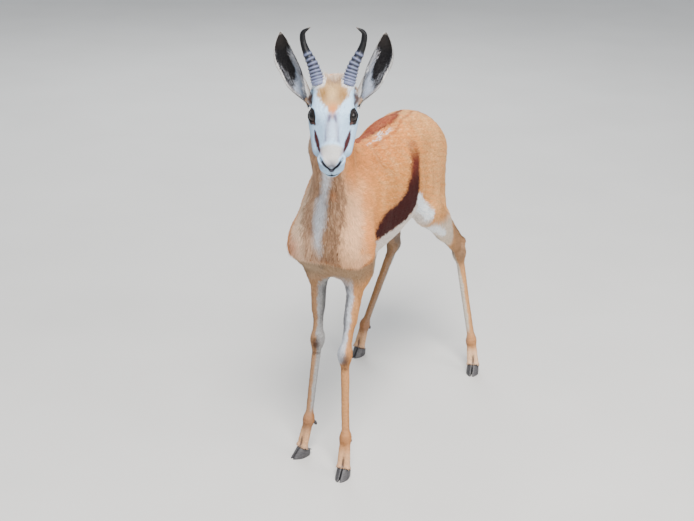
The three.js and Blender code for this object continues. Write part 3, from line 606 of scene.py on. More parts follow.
left_and_right = (("left", 1), ("right", -1))
ear_rows, ear_columns = 60, 36
per_sheet = ear_rows * ear_columns
ear_count = 2 * per_sheet
t = 1 - (1 - np.linspace(-0.12, 1, ear_rows)) ** 1.15 / 1.12**0.15
t = np.clip(t, -0.1, 1)
grid_t, grid_c = np.meshgrid(t, np.linspace(-1, 1, ear_columns), indexing="ij")
sheets = np.concatenate([ear_place(grid_t, grid_c, inner).reshape(-1, 3) for inner in (0, 1)])
sheets += ear_along * (np.minimum(np.tile(grid_t.ravel(), 2), 0) * ear_length)[:, None]
at = np.arange(per_sheet).reshape(ear_rows, ear_columns)
a, b, c, d = at[:-1, :-1], at[1:, :-1], at[1:, 1:], at[:-1, 1:]
quads = [np.stack([a, b, c, d], axis=-1).reshape(-1, 4)]
quads.append(np.stack([a, d, c, b], axis=-1).reshape(-1, 4) + per_sheet)
for column, turned in ((0, False), (-1, True)):
    low, high = at[:-1, column], at[1:, column]
    strip = [low, low + per_sheet, high + per_sheet, high]
    quads.append(np.stack(strip[::-1] if turned else strip, axis=-1))
for row, turned in ((0, False), (-1, True)):
    low, high = at[row, :-1], at[row, 1:]
    strip = [low, high, high + per_sheet, low + per_sheet]
    quads.append(np.stack(strip[::-1] if turned else strip, axis=-1))
sheet_faces = in_triangles(np.concatenate(quads))
ear_starts = {}
for name, side in left_and_right:
    points = sheets * [side, 1, 1]
    ear_starts[name] = len(skin_points)
    skin_faces = np.concatenate([skin_faces, facing_out(points, sheet_faces) + len(skin_points)])
    skin_points = np.concatenate([skin_points, from_head(points)])
skin_normals = normals_of(skin_points, skin_faces)
is_ear_point = np.arange(len(skin_points)) >= ear_starts["left"]
ear_t = np.zeros(len(skin_points))
ear_c = np.zeros(len(skin_points))
ear_inner = np.zeros(len(skin_points))
for first in ear_starts.values():
    ear_t[first : first + ear_count] = np.tile(grid_t.ravel(), 2)
    ear_c[first : first + ear_count] = np.tile(grid_c.ravel(), 2)
    ear_inner[first + ear_count // 2 : first + ear_count] = 1


# Markings
# The colours of the coat, shared by the hide and by every tuft on it: tan above, white below, a dark band
# between them, a white slit in a red-brown back, and a white face with a tan crown and dark cheek lines.
def paint(r, g, b):
    v = np.array([r, g, b]) / 255
    return np.where(v <= 0.04045, v / 12.92, ((v + 0.055) / 1.055) ** 2.4)


def mixed(colour, other, share):
    return colour + (other - colour) * np.clip(share, 0, 1)[:, None]


# a first colour for every point, and a way to lay others over it
def layers_on(first, count):
    colour = np.tile(first, (count, 1))

    def lay(tone, share):
        colour[:] = mixed(colour, tone, share)

    return colour, lay


def waves(p, size, seed):
    rng = np.random.default_rng(seed)
    total = np.zeros(len(p))
    for _ in range(7):
        way = rng.normal(size=3)
        way *= rng.uniform(0.6, 1.7) / np.linalg.norm(way)
        total += np.sin(p @ way * (2 * np.pi / size) + rng.uniform(0, 6.28))
    return total / 3


tan = paint(212, 141, 74)
haunch_tan = paint(222, 162, 104)
warm_tan = paint(222, 132, 70)
rosy_tan = paint(220, 146, 88)
cream = paint(230, 182, 128)
pink_cream = paint(226, 188, 152)
white = paint(212, 202, 194)
# white tinted blue by painted cool light, the first colour of the face
white_in_cool_light = paint(186, 221, 250)
chocolate = paint(60, 26, 24)
brown_band = paint(104, 48, 38)
red_brown = paint(140, 60, 36)
strand_brown = paint(122, 92, 72)
streak_grey = paint(210, 217, 226)
dark_skin = paint(20, 14, 15)
fur_grey = paint(152, 162, 180)
ear_black = paint(15, 14, 17)


# how far a point lies inside a closed outline drawn in two coordinates; below 0 outside it
def inside_outline(a, b, outline):
    outline = np.array(outline, float)
    gap = np.full(len(a), 1e9)
    inside = np.zeros(len(a), bool)
    for (a0, b0), (a1, b1) in zip(outline, np.roll(outline, -1, axis=0)):
        da, db = a1 - a0, b1 - b0
        t = np.clip(((a - a0) * da + (b - b0) * db) / (da**2 + db**2), 0, 1)
        gap = np.minimum(gap, np.hypot(a - a0 - t * da, b - b0 - t * db))
        if db != 0:
            inside ^= ((b0 > b) != (b1 > b)) & (a < a0 + (b - b0) * da / db)
    return np.where(inside, gap, -gap)


def line_2d(a, b, line, halves):
    line = np.array(line, float)
    best = np.full(len(a), 1e9)
    for i in range(len(line) - 1):
        along = line[i + 1] - line[i]
        q = np.stack([a - line[i][0], b - line[i][1]], axis=1)
        t = np.clip(q @ along / (along @ along), 0, 1)
        gap = np.linalg.norm(q - t[:, None] * along, axis=1) - (halves[i] + (halves[i + 1] - halves[i]) * t)
        best = np.minimum(best, gap)
    return best


# side views of the dark band, and of the lower edge of the colour behind it, as (y, z)
flank_band = [
    [52, 606], [46, 592], [38, 581], [32, 571], [17, 561], [1, 549], [-16, 537], [-30, 526], [-49, 521],
    [-83, 519], [-119, 518], [-147, 514], [-165, 507], [-180, 492], [-176, 478], [-127, 469], [-65, 462],
    [-33, 464], [3, 466], [31, 471], [46, 480], [49, 503], [53, 517], [56, 533], [63, 548], [68, 562],
    [74, 575], [76, 588], [74, 604],
]
white_edge = [
    [-190, 480], [-127, 472], [-65, 466], [-33, 467], [3, 469], [40, 478], [50, 508], [80, 490],
    [110, 467], [138, 446], [150, 434], [160, 400],
]
# the slit in the back: how far each white lock lies beside its middle, where it runs along y, and its half
# width
slit_locks = ((-1, -48, 48, 0.9), (5, -84, -10, 0.8), (-6.5, -36, 22, 0.5), (3, 2, 50, 0.4))
# front views, as (z, x): edges of the streaked zone and of the pale streak down the neck
zone_left = [
    [471, -37], [492, -38], [510, -40], [527, -43], [543, -46], [564, -38], [583, -35], [601, -36],
    [650, -26],
]
zone_right = [[484, 40], [503, 38], [537, 38], [556, 35], [594, 33], [614, 34], [660, 42]]
streak_left = [
    [474, -15], [495, -17], [515, -17], [534, -16], [554, -13], [573, -12], [594, -5], [616, -2], [660, 10],
]
streak_right = [[476, 1], [497, 1], [518, 3], [538, 6], [557, 9], [576, 6], [596, 8], [618, 14], [660, 26]]


def along_edge(at, edge):
    return np.interp(at, *np.transpose(edge))


# the breast and the front of the neck lie ahead of this
chest_y = -150


def body_colour(p, n):
    x, y, z = p.T
    ax = np.abs(x)
    blur = waves(p, 46, 3)
    fine = waves(p, 13, 5)
    ripple_light_and_shade = waves(p * [0.5, 0.4, 1.7], 10, 6)
    colour, lay = layers_on(tan, len(p))
    lay(haunch_tan, eased(y, 40, 190) * 0.9)
    lay(warm_tan, eased(z, 560, 632) * eased(-y, -150, 40) * 0.5)
    lay(rosy_tan, eased(-y, 130, 220) * 0.8)
    lay(cream, 0.18 * eased(blur, 0.0, 0.8))
    lay(cream, eased(y, 232, 270) * eased(z, 380, 440) * 0.7)
    # light and dark ripples in the hair: painted light and shade where the lie of the hair catches the light
    lay(cream, 0.36 * eased(ripple_light_and_shade, 0.1, 0.9) * eased(y, -190, -120))
    lay(warm_tan, 0.42 * eased(-ripple_light_and_shade, 0.2, 1.0) * eased(y, -190, -120))
    # belly, groin and the insides of the thighs
    edge = along_edge(y, white_edge)
    below = eased(edge - z + 3 * fine, -5, 5) * eased(z, 300, 320)
    below *= eased(y, -186, -170) * eased(-y, -158, -146)
    lay(white, below)
    inward = -n[:, 0] * np.sign(x)
    on_hind = (y > 96) & (z < 560)
    inner_leg = eased(inward + 0.06 * fine, 0.02, 0.32) * on_hind * eased(-z, -520, -470)
    lay(white, inner_leg)
    groin = eased(-n[:, 2], 0.35, 0.7) * (y > -160) * eased(z, 395, 440)
    lay(white, groin)
    # bright patches in front of the stifle and below it, and browner hair between them
    outer = eased(-inward, -0.1, 0.3) * (y > 20) * (ax > 30)
    shin_front = eased(-n[:, 1], 0.2, 0.8) * eased(y, 140, 165) * eased(-z, -440, -410) * outer
    lay(paint(196, 152, 116), shin_front * 0.7)
    patch = line_2d(y, z, [[58, 496], [84, 480], [116, 455], [143, 431]], [9, 11, 11, 8]) + 1.5 * fine
    lay(paint(240, 248, 255), eased(-patch, -4, 4) * outer)
    # dark band of the flank
    band = inside_outline(y, z, flank_band) + 2.0 * fine
    edge_tone = bell(band / 7) * (ax > 34) * (1 - inner_leg)
    lay(paint(140, 84, 62), edge_tone * 0.55 * (1 - below))
    band_tone = mixed(chocolate, brown_band, eased(z + 2 * fine, 530, 575))
    soft = np.interp(z, [480, 530, 560, 600], [2.5, 4, 6, 8])
    in_band = eased(band / soft, -1, 1) * (ax > 34) * (1 - inner_leg) * eased(-z, -612, -572)
    lay(band_tone, in_band)
    # back: a red-brown band along the ridge, and the closed white fan in a slit beside it
    on_top = eased(z, 584, 600)
    lengthwise = waves(p * [1, 0.12, 1], 7, 17)
    far_edge = np.interp(y, [-120, -60, 0, 62, 100, 140, 165, 195], [-10, -24, -36, -40, -34, -20, -13, -9])
    near_edge = np.interp(y, [-120, -50, 7, 55, 93, 130, 152, 190], [-4, 2, 0, 9, 12, 3, -5, -7])
    in_band = np.minimum(x - far_edge, near_edge - x) + 2.5 * fine
    back_band = eased(in_band, -4, 6) * eased(y, -122, -90) * eased(-y, -196, -170) * on_top
    lay(red_brown, back_band * (0.8 + 0.18 * (lengthwise > 0)))
    dark_edge = bell((near_edge - x - 3 + fine) / 4) * (y > -60) * (y < 180) * on_top
    lay(paint(112, 50, 34), dark_edge * 0.75)
    beyond = np.interp(y, [-60, 60, 190, 240], [24, 24, 12, 26])
    side_line = eased(2.8 - np.abs(np.abs(x) - beyond) + fine, -2, 2) * eased(y, -90, -60)
    lay(red_brown, side_line * on_top * 0.45)
    slit_x = np.interp(y, [-78, -63, -28, 5, 30, 45, 62], [11, 12, 15, 13, 14, 16, 18])
    for aside, low_y, high_y, wide in slit_locks:
        within = eased(y, low_y - 8, low_y + 22) * eased(-y, -high_y - 8, 22 - high_y)
        in_slit = wide * within - np.abs(x - slit_x - aside - 1.2 * lengthwise) + 0.6 * fine
        lay(paint(236, 240, 250), eased(in_slit, -1.0, 0.6) * on_top * within)
    # rump patch round the tail, with a red-brown edge
    rump = np.interp(z, [400, 440, 500, 560, 600, 636], [22, 30, 40, 42, 30, 14])
    rump_reach = eased(rump - ax + 2.5 * fine, -4, 4) * eased(y, 226, 244) * eased(z, 400, 440)
    rump_edge = eased(rump + 9 - ax + 2.5 * fine, -4, 4) * eased(y, 218, 236) * eased(z, 440, 500)
    lay(red_brown, rump_edge * 0.7)
    lay(white, rump_reach)
    # neck and breast: a grey-white streak with brown strands beside it, and pale pink-tan further out
    front = eased(-n[:, 1], 0.2, 0.6) * (y < chest_y)
    strand = waves(p * [1, 1, 0.12], 7, 11)
    thin_strand = waves(p * [1, 1, 0.1], 5, 12)
    outer_left = np.interp(z, [470, 530, 590], [-64, -62, -50])
    outer_right = np.interp(z, [440, 483, 532, 584, 620], [84, 76, 66, 55, 50])
    pale = np.minimum(x - outer_left, outer_right - x) + 3 * fine
    lay(pink_cream, eased(pale, -8, 8) * front * 0.66)
    # paler still on the animal's right side of the breast (x below 0): painted light
    lay(paint(234, 206, 178), eased(pale, -8, 8) * front * eased(-x, 0, 20) * 0.8)
    lump = bell((x + 58) / 15, (z - 482) / 17) * (y < chest_y)
    lay(paint(206, 138, 106), lump * 0.7)
    zone = np.minimum(x - along_edge(z, zone_left), along_edge(z, zone_right) - x) + 3 * strand
    in_zone = eased(zone, -6, 9) * front * eased(z, 452, 466)
    strand_tone = mixed(strand_brown, paint(164, 124, 96), eased(-x, -8, 20))
    lay(strand_tone, in_zone * (0.66 + 0.24 * eased(strand, -0.5, 0.6)))
    lay(pink_cream, in_zone * 0.32 * eased(thin_strand, 0.2, 0.9))
    edge_line = bell((zone - 3) / 5) * front * eased(z, 462, 480)
    lay(paint(122, 88, 66), edge_line * 0.3 * eased(strand, -0.6, 0.5))
    streak = np.minimum(x - along_edge(z, streak_left), along_edge(z, streak_right) - x) + 1.6 * thin_strand
    lay(streak_grey, eased(streak, -6, 8) * front * eased(z, 462, 505) * 0.86)
    spot = bell((x - 16) / 5, (z - 590) / 7) * front
    lay(paint(176, 112, 70), spot * 0.75)
    h = to_head(p)
    by_jaw = eased(-h[:, 1], -78, -50) * eased(z, 612, 640) * eased(h[:, 2], -112, -84)
    lay(paint(206, 206, 204), by_jaw * 0.8)
    # lower edge of the breast: a few dark clumps, and below them a grey-brown that is painted shade under the
    # chest
    hem = np.interp(x, [-60, -39, -23, 10, 38, 76], [462, 458, 454, 456, 459, 444])
    clumps = eased(waves(p * [1, 1, 0.4], 15, 13), 0.0, 0.9)
    fringe = bell((z - hem - 3 + fine * 3) / 6) * (y < -170)
    lay(paint(142, 82, 44), fringe * (0.25 + 0.55 * clumps))
    # grey-brown painted shade under the chest
    under_chest_shade = eased(hem - z, -4, 6) * eased(z, 385, 415) * (y < -130)
    lay(paint(141, 118, 93), under_chest_shade * 0.85)
    spot = bell((x + 7) / 5, (z - 439) / 5) * (y < -200)
    lay(paint(104, 92, 86), spot * 0.7)
    lay_legs(lay, p, n, fine)
    return colour


# where the pale strip on the inner side of each leg begins: degrees from straight ahead, at heights z
pale_from = {
    "fore_left": ([228, 246, 330, 400], [150, -30, -34, -18]),
    "fore_right": ([80, 240, 265, 300, 400], [22, 20, 18, 26, 34]),
    "hind_left": ([80, 230, 270, 300, 390], [-24, -18, 2, 10, 20]),
    # the right hind leg's strip begins far round, so its inner side, in the body's shadow, keeps the leg's
    # painted shade
    "hind_right": ([80, 270, 305, 390], [70, 74, 80, 90]),
}
# tone of each lower leg; the right legs are darker, which is painted shade
leg_tone_and_shade = {
    "fore_left": paint(190, 134, 84),
    "fore_right": paint(156, 112, 74),
    "hind_left": paint(204, 150, 100),
    "hind_right": paint(142, 106, 74),
}


def lay_legs(lay, p, n, fine):
    x, y, z = p.T
    low = eased(-z, -425, -385)
    for leg, (side, _, _, knee, fetlock, ground, toe_out) in all_legs.items():
        fore = leg in fore_legs
        mine = (np.sign(x) == side) & ((y < 60) == fore)
        angle = np.degrees(np.arctan2(-n[:, 0] * side, -n[:, 1])) + 7 * fine
        # the leg's tone, darker on the right legs as painted shade
        lay(leg_tone_and_shade[leg], low * mine * 0.85)
        start = np.interp(z, *pale_from[leg])
        strip = eased(angle - start, -12, 12) * eased(-angle, -152, -128) * eased(z, 92, 114)
        # the pale strip; its blue-grey on the left foreleg is painted cool shade, and its grey on the right
        # legs is painted shade
        pale = paint(190, 200, 212) if fore else paint(208, 202, 190)
        if side < 0:
            pale = paint(164, 168, 170)
        lay(pale, strip * low * mine * 0.88)
        # further round on the inner side of the forelegs, above the knee, a grey that is painted shade
        deep = eased(angle - start, 24, 56) * eased(-angle, -152, -128) * eased(z, 284, 304)
        lay(paint(112, 110, 112), deep * low * mine * fore * 0.75)
        spine = eased(angle, 128, 165) * eased(z, 200, 330) * fore
        lay(paint(140, 98, 68), spine * low * mine * 0.5)
        if fore:
            # a dark patch on the front of each knee, with a darker line below it that is painted shade in the
            # crease
            place = [7, -14, -7] if side > 0 else [3, -18, -3]
            d = np.linalg.norm((p - moved(knee, place)) / [9.5, 9, 17], axis=1)
            knee_tone = paint(92, 70, 60) if side > 0 else paint(66, 44, 36)
            lay(knee_tone, np.exp(-(d**2.5)) * mine * 0.92)
            knee_crease_shade = bell((z - knee[2] + 26) / 2.6) * eased(-n[:, 1], 0.1, 0.6)
            lay(paint(64, 44, 36), knee_crease_shade * mine * 0.75)
        else:
            # pale gaskin with a browner back edge, and a grey-brown front of the hock
            gaskin = eased(-y, -276, -256) * eased(z, 296, 318) * eased(-z, -416, -392) * (side > 0)
            lay(paint(218, 208, 192), gaskin * mine * 0.8)
            bright = line_2d(y, z, [[166, 402], [196, 384], [222, 366]], [6, 10, 5]) + 2 * fine
            lay(paint(240, 245, 250), eased(-bright, -4, 4) * gaskin * mine)
            heel = eased(y, 262, 284) * eased(z, 270, 300) * eased(-z, -400, -370)
            lay(paint(150, 118, 92), heel * mine * 0.7)
            d = np.linalg.norm((p - moved(knee, [side * 12, -14, -6])) / [13, 14, 26], axis=1)
            lay(paint(122, 100, 82), bell(d) * mine * 0.75)
        d = np.linalg.norm((p - moved(fetlock, [0, -4, 2])) / [18, 20, 18], axis=1)
        lay(paint(158, 102, 66), bell(d) * mine * 0.6)
        toe_tone = paint(236, 196, 158) if leg == "hind_left" else paint(220, 172, 130)
        lay(toe_tone, eased(-z, -66, -48) * mine * 0.8)
        # between the toes, dark painted shade in the cleft, and grey above the hooves
        across = foot_axes(toe_out * side)[1]
        from_cleft = np.abs((p - np.array(ground)) @ across)
        cleft = eased(-from_cleft, -3.6, -1.6) * eased(-z, -50, -36)
        lay(paint(62, 56, 58), cleft * mine * 0.85)
        lay(paint(150, 132, 120), eased(-z, -30, -21) * mine * 0.6)


# half widths of the tan crown, as (y, x) in the head's own frame
crown_half = [
    [-27, 0], [-20, 3.5], [-12, 6.5], [-4, 10.5], [5, 16.5], [13, 22], [25, 27], [38, 27], [43, 23], [60, 15],
]


def head_colour(p, n):
    h = to_head(p)
    x, y, z = h.T
    ax = np.abs(x)
    left = to_left(h)
    fine = waves(h, 9, 7)
    tiny = waves(h, 4, 8)
    hairs = waves(h * [1, 0.22, 1], 4, 9)
    # the face is white, with painted cool light tinting it blue
    colour, lay = layers_on(white_in_cool_light, len(p))
    # blue-grey streaks along the hair: painted cool shade
    lay(paint(132, 160, 200), 0.5 * eased(hairs, -0.1, 0.9))
    # blue-grey painted shade on the sides of the face, ahead of the eyes
    cheek_shade = eased(-y, 10, 40) * eased(ax, 10, 22)
    lay(paint(166, 196, 226), cheek_shade * 0.7)
    # jaw, cheeks and the back of the head run into the neck's tan
    nape = eased(y + 0.45 * z, 46, 74) * eased(z, -44, -10)
    lay(rosy_tan, nape * 0.85)
    cheek_back = eased(y, 40, 66) * (1 - eased(z, -20, 4))
    lay(rosy_tan, cheek_back * 0.8)
    by_ear = np.linalg.norm((left - (ear_root + [0, 2, 2])) / [17, 17, 17], axis=1)
    lay(paint(206, 164, 122), eased(-by_ear + 0.12 * fine, -1.35, -0.75) * 0.9)
    # crown: soft edges, two deeper lobes, an orange point and a pale middle
    half = along_edge(y, crown_half)
    on_crown = eased(half - ax + 2.4 * hairs + fine, -6, 5) * (z > 8) * eased(y, -30, -22)
    lay(paint(184, 144, 88), on_crown * 0.94)
    lobes = bell((ax - 17) / 9.5, (y - 22) / 15)
    lay(paint(132, 96, 52), on_crown * lobes * (0.85 + 0.15 * hairs))
    tip = bell(ax / 10, (y + 10) / 15)
    lay(paint(204, 122, 64), on_crown * tip * 0.85)
    middle = bell(ax / 6.5, (y - 30) / 14)
    lay(paint(212, 178, 128), on_crown * middle * (0.5 + 0.3 * hairs))
    top = eased(y, 38, 50) * (z > 10) * (ax < 24)
    lay(paint(166, 124, 70), top * (0.8 + 0.2 * hairs))
    spot = bell(x / 9, (y - 47) / 6) * (z > 10)
    lay(paint(120, 82, 50), spot * 0.7)
    collar = np.linalg.norm((left - horn_root) / [18, 16, 18], axis=1)
    lay(paint(226, 230, 236), eased(-collar, -1.25, -0.85) * (ax > 14) * 0.85)
    # nose bridge: two dark lines, with blue-grey painted shade beside them and between them
    d, t = from_line(left, bridge_line)
    lay(paint(146, 150, 180), bell((d - 1) / 6) * (1 - 0.3 * t) * 0.75)
    lay(paint(84, 72, 92), bell(d / 3.0) * (1 - 0.35 * t) * 0.95)
    between = (ax < 10) * eased(-y, 26, 36) * eased(y, -74, -60) * (z > 4)
    lay(paint(178, 192, 214), between * 0.6)
    # muzzle
    muzzle_half = np.interp(y, [-112, -106, -91, -80, -74], [6, 12, 17, 20, 19])
    muzzle = eased(muzzle_half - ax + fine, -2, 2) * eased(-y, 72, 80) * eased(z, -6, 2)
    lay(paint(188, 182, 174), muzzle * 0.9)
    speckle = eased(waves(h, 2.2, 19), 0.6, 1.2)
    lay(paint(150, 146, 142), muzzle * speckle * 0.3)
    low_muzzle = bell(ax / 12, (y + 109) / 7, (z - 1) / 9)
    lay(paint(112, 114, 128), low_muzzle * 0.8)
    # grey painted shade down the sides of the muzzle
    muzzle_side_shade = bell((ax - muzzle_half) / 2.6) * eased(-y, 72, 80)
    muzzle_side_shade *= eased(y, -102, -94) * eased(z, -4, 3)
    lay(paint(140, 130, 144), muzzle_side_shade * 0.75)
    # cheek stripes, from below the eye towards the corner of the mouth
    d, t = from_line(left, cheek_line)
    half = 4.4 * np.sin(np.pi * np.clip(t * 0.9 + 0.05, 0, 1)) ** 0.7
    lay(paint(62, 28, 30), eased(half - d + 0.5 * tiny, -1.4, 1.0))
    # dark hair from the eye to the foot of the ear, dark rims of the eyes and nostrils, and the mouth line:
    # the lips' dark edge with painted shadow under the upper lip
    d, t = from_line(left, brow_line)
    lay(paint(66, 42, 34), bell(d / 5.4) * 0.95)
    almond, q = in_almond(h)
    along = q @ lid_back / lid_half
    rim = 6.8 - 0.8 * along - 2.8 * np.clip(np.abs(along), 0, 1.2) ** 2
    lay(dark_skin, eased(almond + rim + 0.15 * tiny, -0.8, 0.8))
    d, t = from_line(left, tear_line)
    lay(paint(76, 52, 48), eased(3.0 - d, -1.2, 1.0))
    d, t = from_line(left, nostril_line)
    thick = np.interp(t, [0, 0.3, 0.8, 1], [2.0, 2.5, 2.7, 4.2])
    lay(paint(22, 22, 32), eased(thick - d, -0.5, 0.6))
    d, t = from_line(left, philtrum_line)
    lay(paint(120, 120, 136), bell(d / 2.6) * 0.7)
    lay(paint(40, 40, 54), eased(1.0 - d, -0.5, 0.5))
    # the mouth line: a dark lip edge, widened by painted shadow under the upper lip
    d, t = from_line(left, mouth_line)
    lay(paint(16, 18, 28), eased(3.0 - 2.4 * t - d, -0.5, 0.6))
    return colour


# thin pale streaks in the ear: how far across it each lies, and where it starts and ends along it
ear_streaks = ((-0.8, 0.16, 0.78), (-0.64, 0.14, 0.6), (-0.5, 0.16, 0.46), (-0.36, 0.14, 0.34))


def ear_colour(t, c, inner):
    outside = mixed(paint(176, 160, 146), paint(150, 124, 100), eased(t, 0.3, 1.0))
    outside = mixed(outside, paint(96, 82, 72), eased(t, 0.9, 1.0) * 0.7)
    outside = mixed(outside, paint(184, 182, 180), eased(np.abs(c), 0.68, 0.88) * 0.85)
    inside = mixed(ear_black, paint(44, 38, 36), eased(t, 0.7, 0.88) * 0.8)
    ruffle = 0.03 * np.sin(41 * t + 9 * c) + 0.02 * np.sin(97 * t - 5 * c)
    # pale fur on the upper margin, low down
    fur_from = [-1.2, -1.0, -0.42, -0.08, 0.24, 0.54, 0.84, 1.2]
    fur_edge = np.interp(t, [0, 0.13, 0.22, 0.3, 0.42, 0.56, 0.7, 0.8], fur_from)
    inside = mixed(inside, fur_grey, eased(c - fur_edge + ruffle, -0.1, 0.16) * 0.92)
    # grey fur at the foot of the lower margin, and thin pale streaks that run along it
    low_edge = np.interp(t, [0, 0.1, 0.22, 0.36], [-0.36, -0.5, -0.75, -1.1])
    inside = mixed(inside, paint(140, 136, 138), eased(low_edge - c + ruffle, -0.06, 0.1) * 0.8)
    for place_c, low_t, high_t in ear_streaks:
        line = bell((c - place_c + 0.3 * ruffle) / 0.024) * eased(t, low_t, low_t + 0.08)
        inside = mixed(inside, paint(150, 152, 160), line * eased(-t, -high_t, 0.1 - high_t) * 0.6)
    rim = eased(np.abs(c), 0.93, 0.985)
    inside = mixed(inside, paint(192, 190, 190), rim * 0.85)
    inside = mixed(inside, paint(160, 152, 146), eased(t, 0.96, 0.99))
    return mixed(outside, inside, inner)


# The side of an ear where c is above 0 is its inner, upper margin.
if ear_out @ np.cross(ear_along, ear_open) > 0:
    ear_c = -ear_c


def colour_at(p, n):
    h = to_head(p)
    share = (1 - eased(h[:, 1] + 0.5 * h[:, 2], 48, 80)) * (p[:, 2] > 610) * (1 - eased(-h[:, 2], 52, 66))
    colour = np.zeros((len(p), 3))
    face = share > 0
    body = share < 1
    colour[face] = head_colour(p[face], n[face]) * share[face][:, None]
    colour[body] += body_colour(p[body], n[body]) * (1 - share[body])[:, None]
    return colour


skin_colour = colour_at(skin_points, skin_normals)
skin_colour[is_ear_point] = ear_colour(*(values[is_ear_point] for values in (ear_t, ear_c, ear_inner)))


def make_mesh(name, points, faces, normals=None):
    mesh = bpy.data.meshes.new(name)
    mesh.vertices.add(len(points))
    mesh.vertices.foreach_set("co", in_metres(points).astype(np.float32).ravel())
    mesh.loops.add(faces.size)
    mesh.loops.foreach_set("vertex_index", faces.astype(np.int32).ravel())
    mesh.polygons.add(len(faces))
    mesh.polygons.foreach_set("loop_start", (np.arange(len(faces)) * faces.shape[1]).astype(np.int32))
    mesh.update(calc_edges=True)
    mesh.shade_smooth()
    if normals is not None:
        mesh.normals_split_custom_set_from_vertices(normals.astype(np.float32))
    piece = bpy.data.objects.new(name, mesh)
    bpy.context.collection.objects.link(piece)
    return piece


def add_colour(piece, colour):
    layer = piece.data.color_attributes.new("marking", "FLOAT_COLOR", "POINT")
    solid = np.concatenate([colour, np.ones((len(colour), 1))], axis=1)
    layer.data.foreach_set("color", solid.astype(np.float32).ravel())


# the painted marking of a piece, multiplied by a noise
def show_marking(tree, shader, by, share):
    marking = tree.nodes.new("ShaderNodeVertexColor")
    marking.layer_name = "marking"
    uneven = tree.nodes.new("ShaderNodeMix")
    uneven.data_type = "RGBA"
    uneven.blend_type = "MULTIPLY"
    uneven.inputs["Factor"].default_value = share
    tree.links.new(marking.outputs["Color"], uneven.inputs["A"])
    tree.links.new(by, uneven.inputs["B"])
    tree.links.new(uneven.outputs["Result"], shader.inputs["Base Color"])


def add_dents(tree, shader, noise, strength, deep):
    dent = tree.nodes.new("ShaderNodeBump")
    dent.inputs["Strength"].default_value = strength
    dent.inputs["Distance"].default_value = deep
    tree.links.new(noise.outputs["Fac"], dent.inputs["Height"])
    tree.links.new(dent.outputs["Normal"], shader.inputs["Normal"])


skin = make_mesh("skin", skin_points, skin_faces)
add_colour(skin, skin_colour)
skin_finish, tree, shader = new_finish("skin_finish", 0.6, 0.25)
nap = add_noise(tree, 900, 3)
show_marking(tree, shader, nap.outputs["Color"], 0.35)
add_dents(tree, shader, nap, 0.35, 0.0006)
skin.data.materials.append(skin_finish)
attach(skin, "root")
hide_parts(*flesh_nodes, "ear_left", "ear_right")

# Coat
# Short hair that lies along the body, in flat pointed tufts rooted all over the hide: a centimetre long on
# the trunk, longer on the breast and crown, and very small on the face and feet.
rng = np.random.default_rng(7)
corner = skin_points[skin_faces]
face_area = np.linalg.norm(np.cross(corner[:, 1] - corner[:, 0], corner[:, 2] - corner[:, 0]), axis=1) / 2
face_middle = corner.mean(axis=1)
face_is_ear = skin_faces[:, 0] >= ear_starts["left"]
face_head = to_head(face_middle)
on_head_share = (1 - eased(face_head[:, 1] + 0.5 * face_head[:, 2], 50, 84)) * (face_middle[:, 2] > 610)
on_head_share *= 1 - eased(-face_head[:, 2], 56, 70)


def lie_of_coat(p, n, head_share):
    x, y, z = p.T
    h = to_head(p)
    way = np.tile([0.0, 1.0, -0.28], (len(p), 1))
    down_neck = unit(np.array(neck_root, float) - np.array(neck_top))
    on_neck = eased(z, 590, 660) * eased(-y, 130, 190)
    breast = eased(-n[:, 1], 0.1, 0.7) * eased(-y, 150, 200)
    rump = eased(y, 190, 275)
    legs = 1 - eased(z, 395, 470)
    way = mixed(way, np.array([0, 0.25, -1.0]), breast)
    way = mixed(way, down_neck + [0, 0.25, 0], on_neck)
    way = mixed(way, np.array([0, 0.35, -1.0]), rump)
    way = mixed(way, np.array([0, 0.12, -1.0]), legs)
    face = np.stack([0.012 * h[:, 0], np.full(len(p), 1.0), -0.15 - 0.006 * np.abs(h[:, 0])], axis=1)
    face[:, 0] += np.sign(h[:, 0]) * 0.25 * eased(np.abs(h[:, 0]), 4, 22)
    crown = eased(h[:, 1], 34, 50) * (h[:, 2] > 4)
    face = mixed(face, np.array([0, 0.7, 1.0]), crown * 0.85)
    left = to_left(h)
    by_horn = bell((np.linalg.norm(left - horn_root, axis=1) - 14) / 6)
    by_ear = bell((np.linalg.norm(left - ear_root, axis=1) - 15) / 8)
    hand = np.stack([np.where(h[:, 0] < 0, -1, 1), np.ones(len(p)), np.ones(len(p))], axis=1)
    face = face + (horn_rise * hand * 1.2 - face) * (0.8 * by_horn)[:, None]
    face = face + (ear_rise * hand * 1.2 - face) * (0.7 * by_ear)[:, None]
    return mixed(way, face @ head_turn.T, head_share)


# picks tuft roots over the wanted part of the hide, and gives a way to read any value of the hide at them
def strewn(density, wanted):
    weight = face_area * density * wanted
    count = int(weight.sum())
    face = rng.choice(len(face_area), size=count, p=weight / weight.sum())
    a, b = rng.random(count), rng.random(count)
    over = a + b > 1
    a[over], b[over] = 1 - a[over], 1 - b[over]
    share = np.stack([1 - a - b, a, b], axis=1)
    corners = skin_faces[face]

    def blend(values):
        return (values[corners] * share.reshape(share.shape + (1,) * (values.ndim - 1))).sum(axis=1)

    return face, blend


coat_finish, tree, shader = new_finish("coat_finish", 0.7, 0.05)
contrast = tree.nodes.new("ShaderNodeMapRange")
contrast.inputs["To Min"].default_value = 0.82
contrast.inputs["To Max"].default_value = 1.14
tree.links.new(add_noise(tree, 1400).outputs["Fac"], contrast.inputs["Value"])
show_marking(tree, shader, contrast.outputs["Result"], 1.0)

# each tuft is darker at its root than at its tip, and has a small patch of the bake map
tuft_tones = np.array([0.7, 0.7, 0.98, 0.98, 1.12])
bake_patch = 0.003
bake_room = 0.994


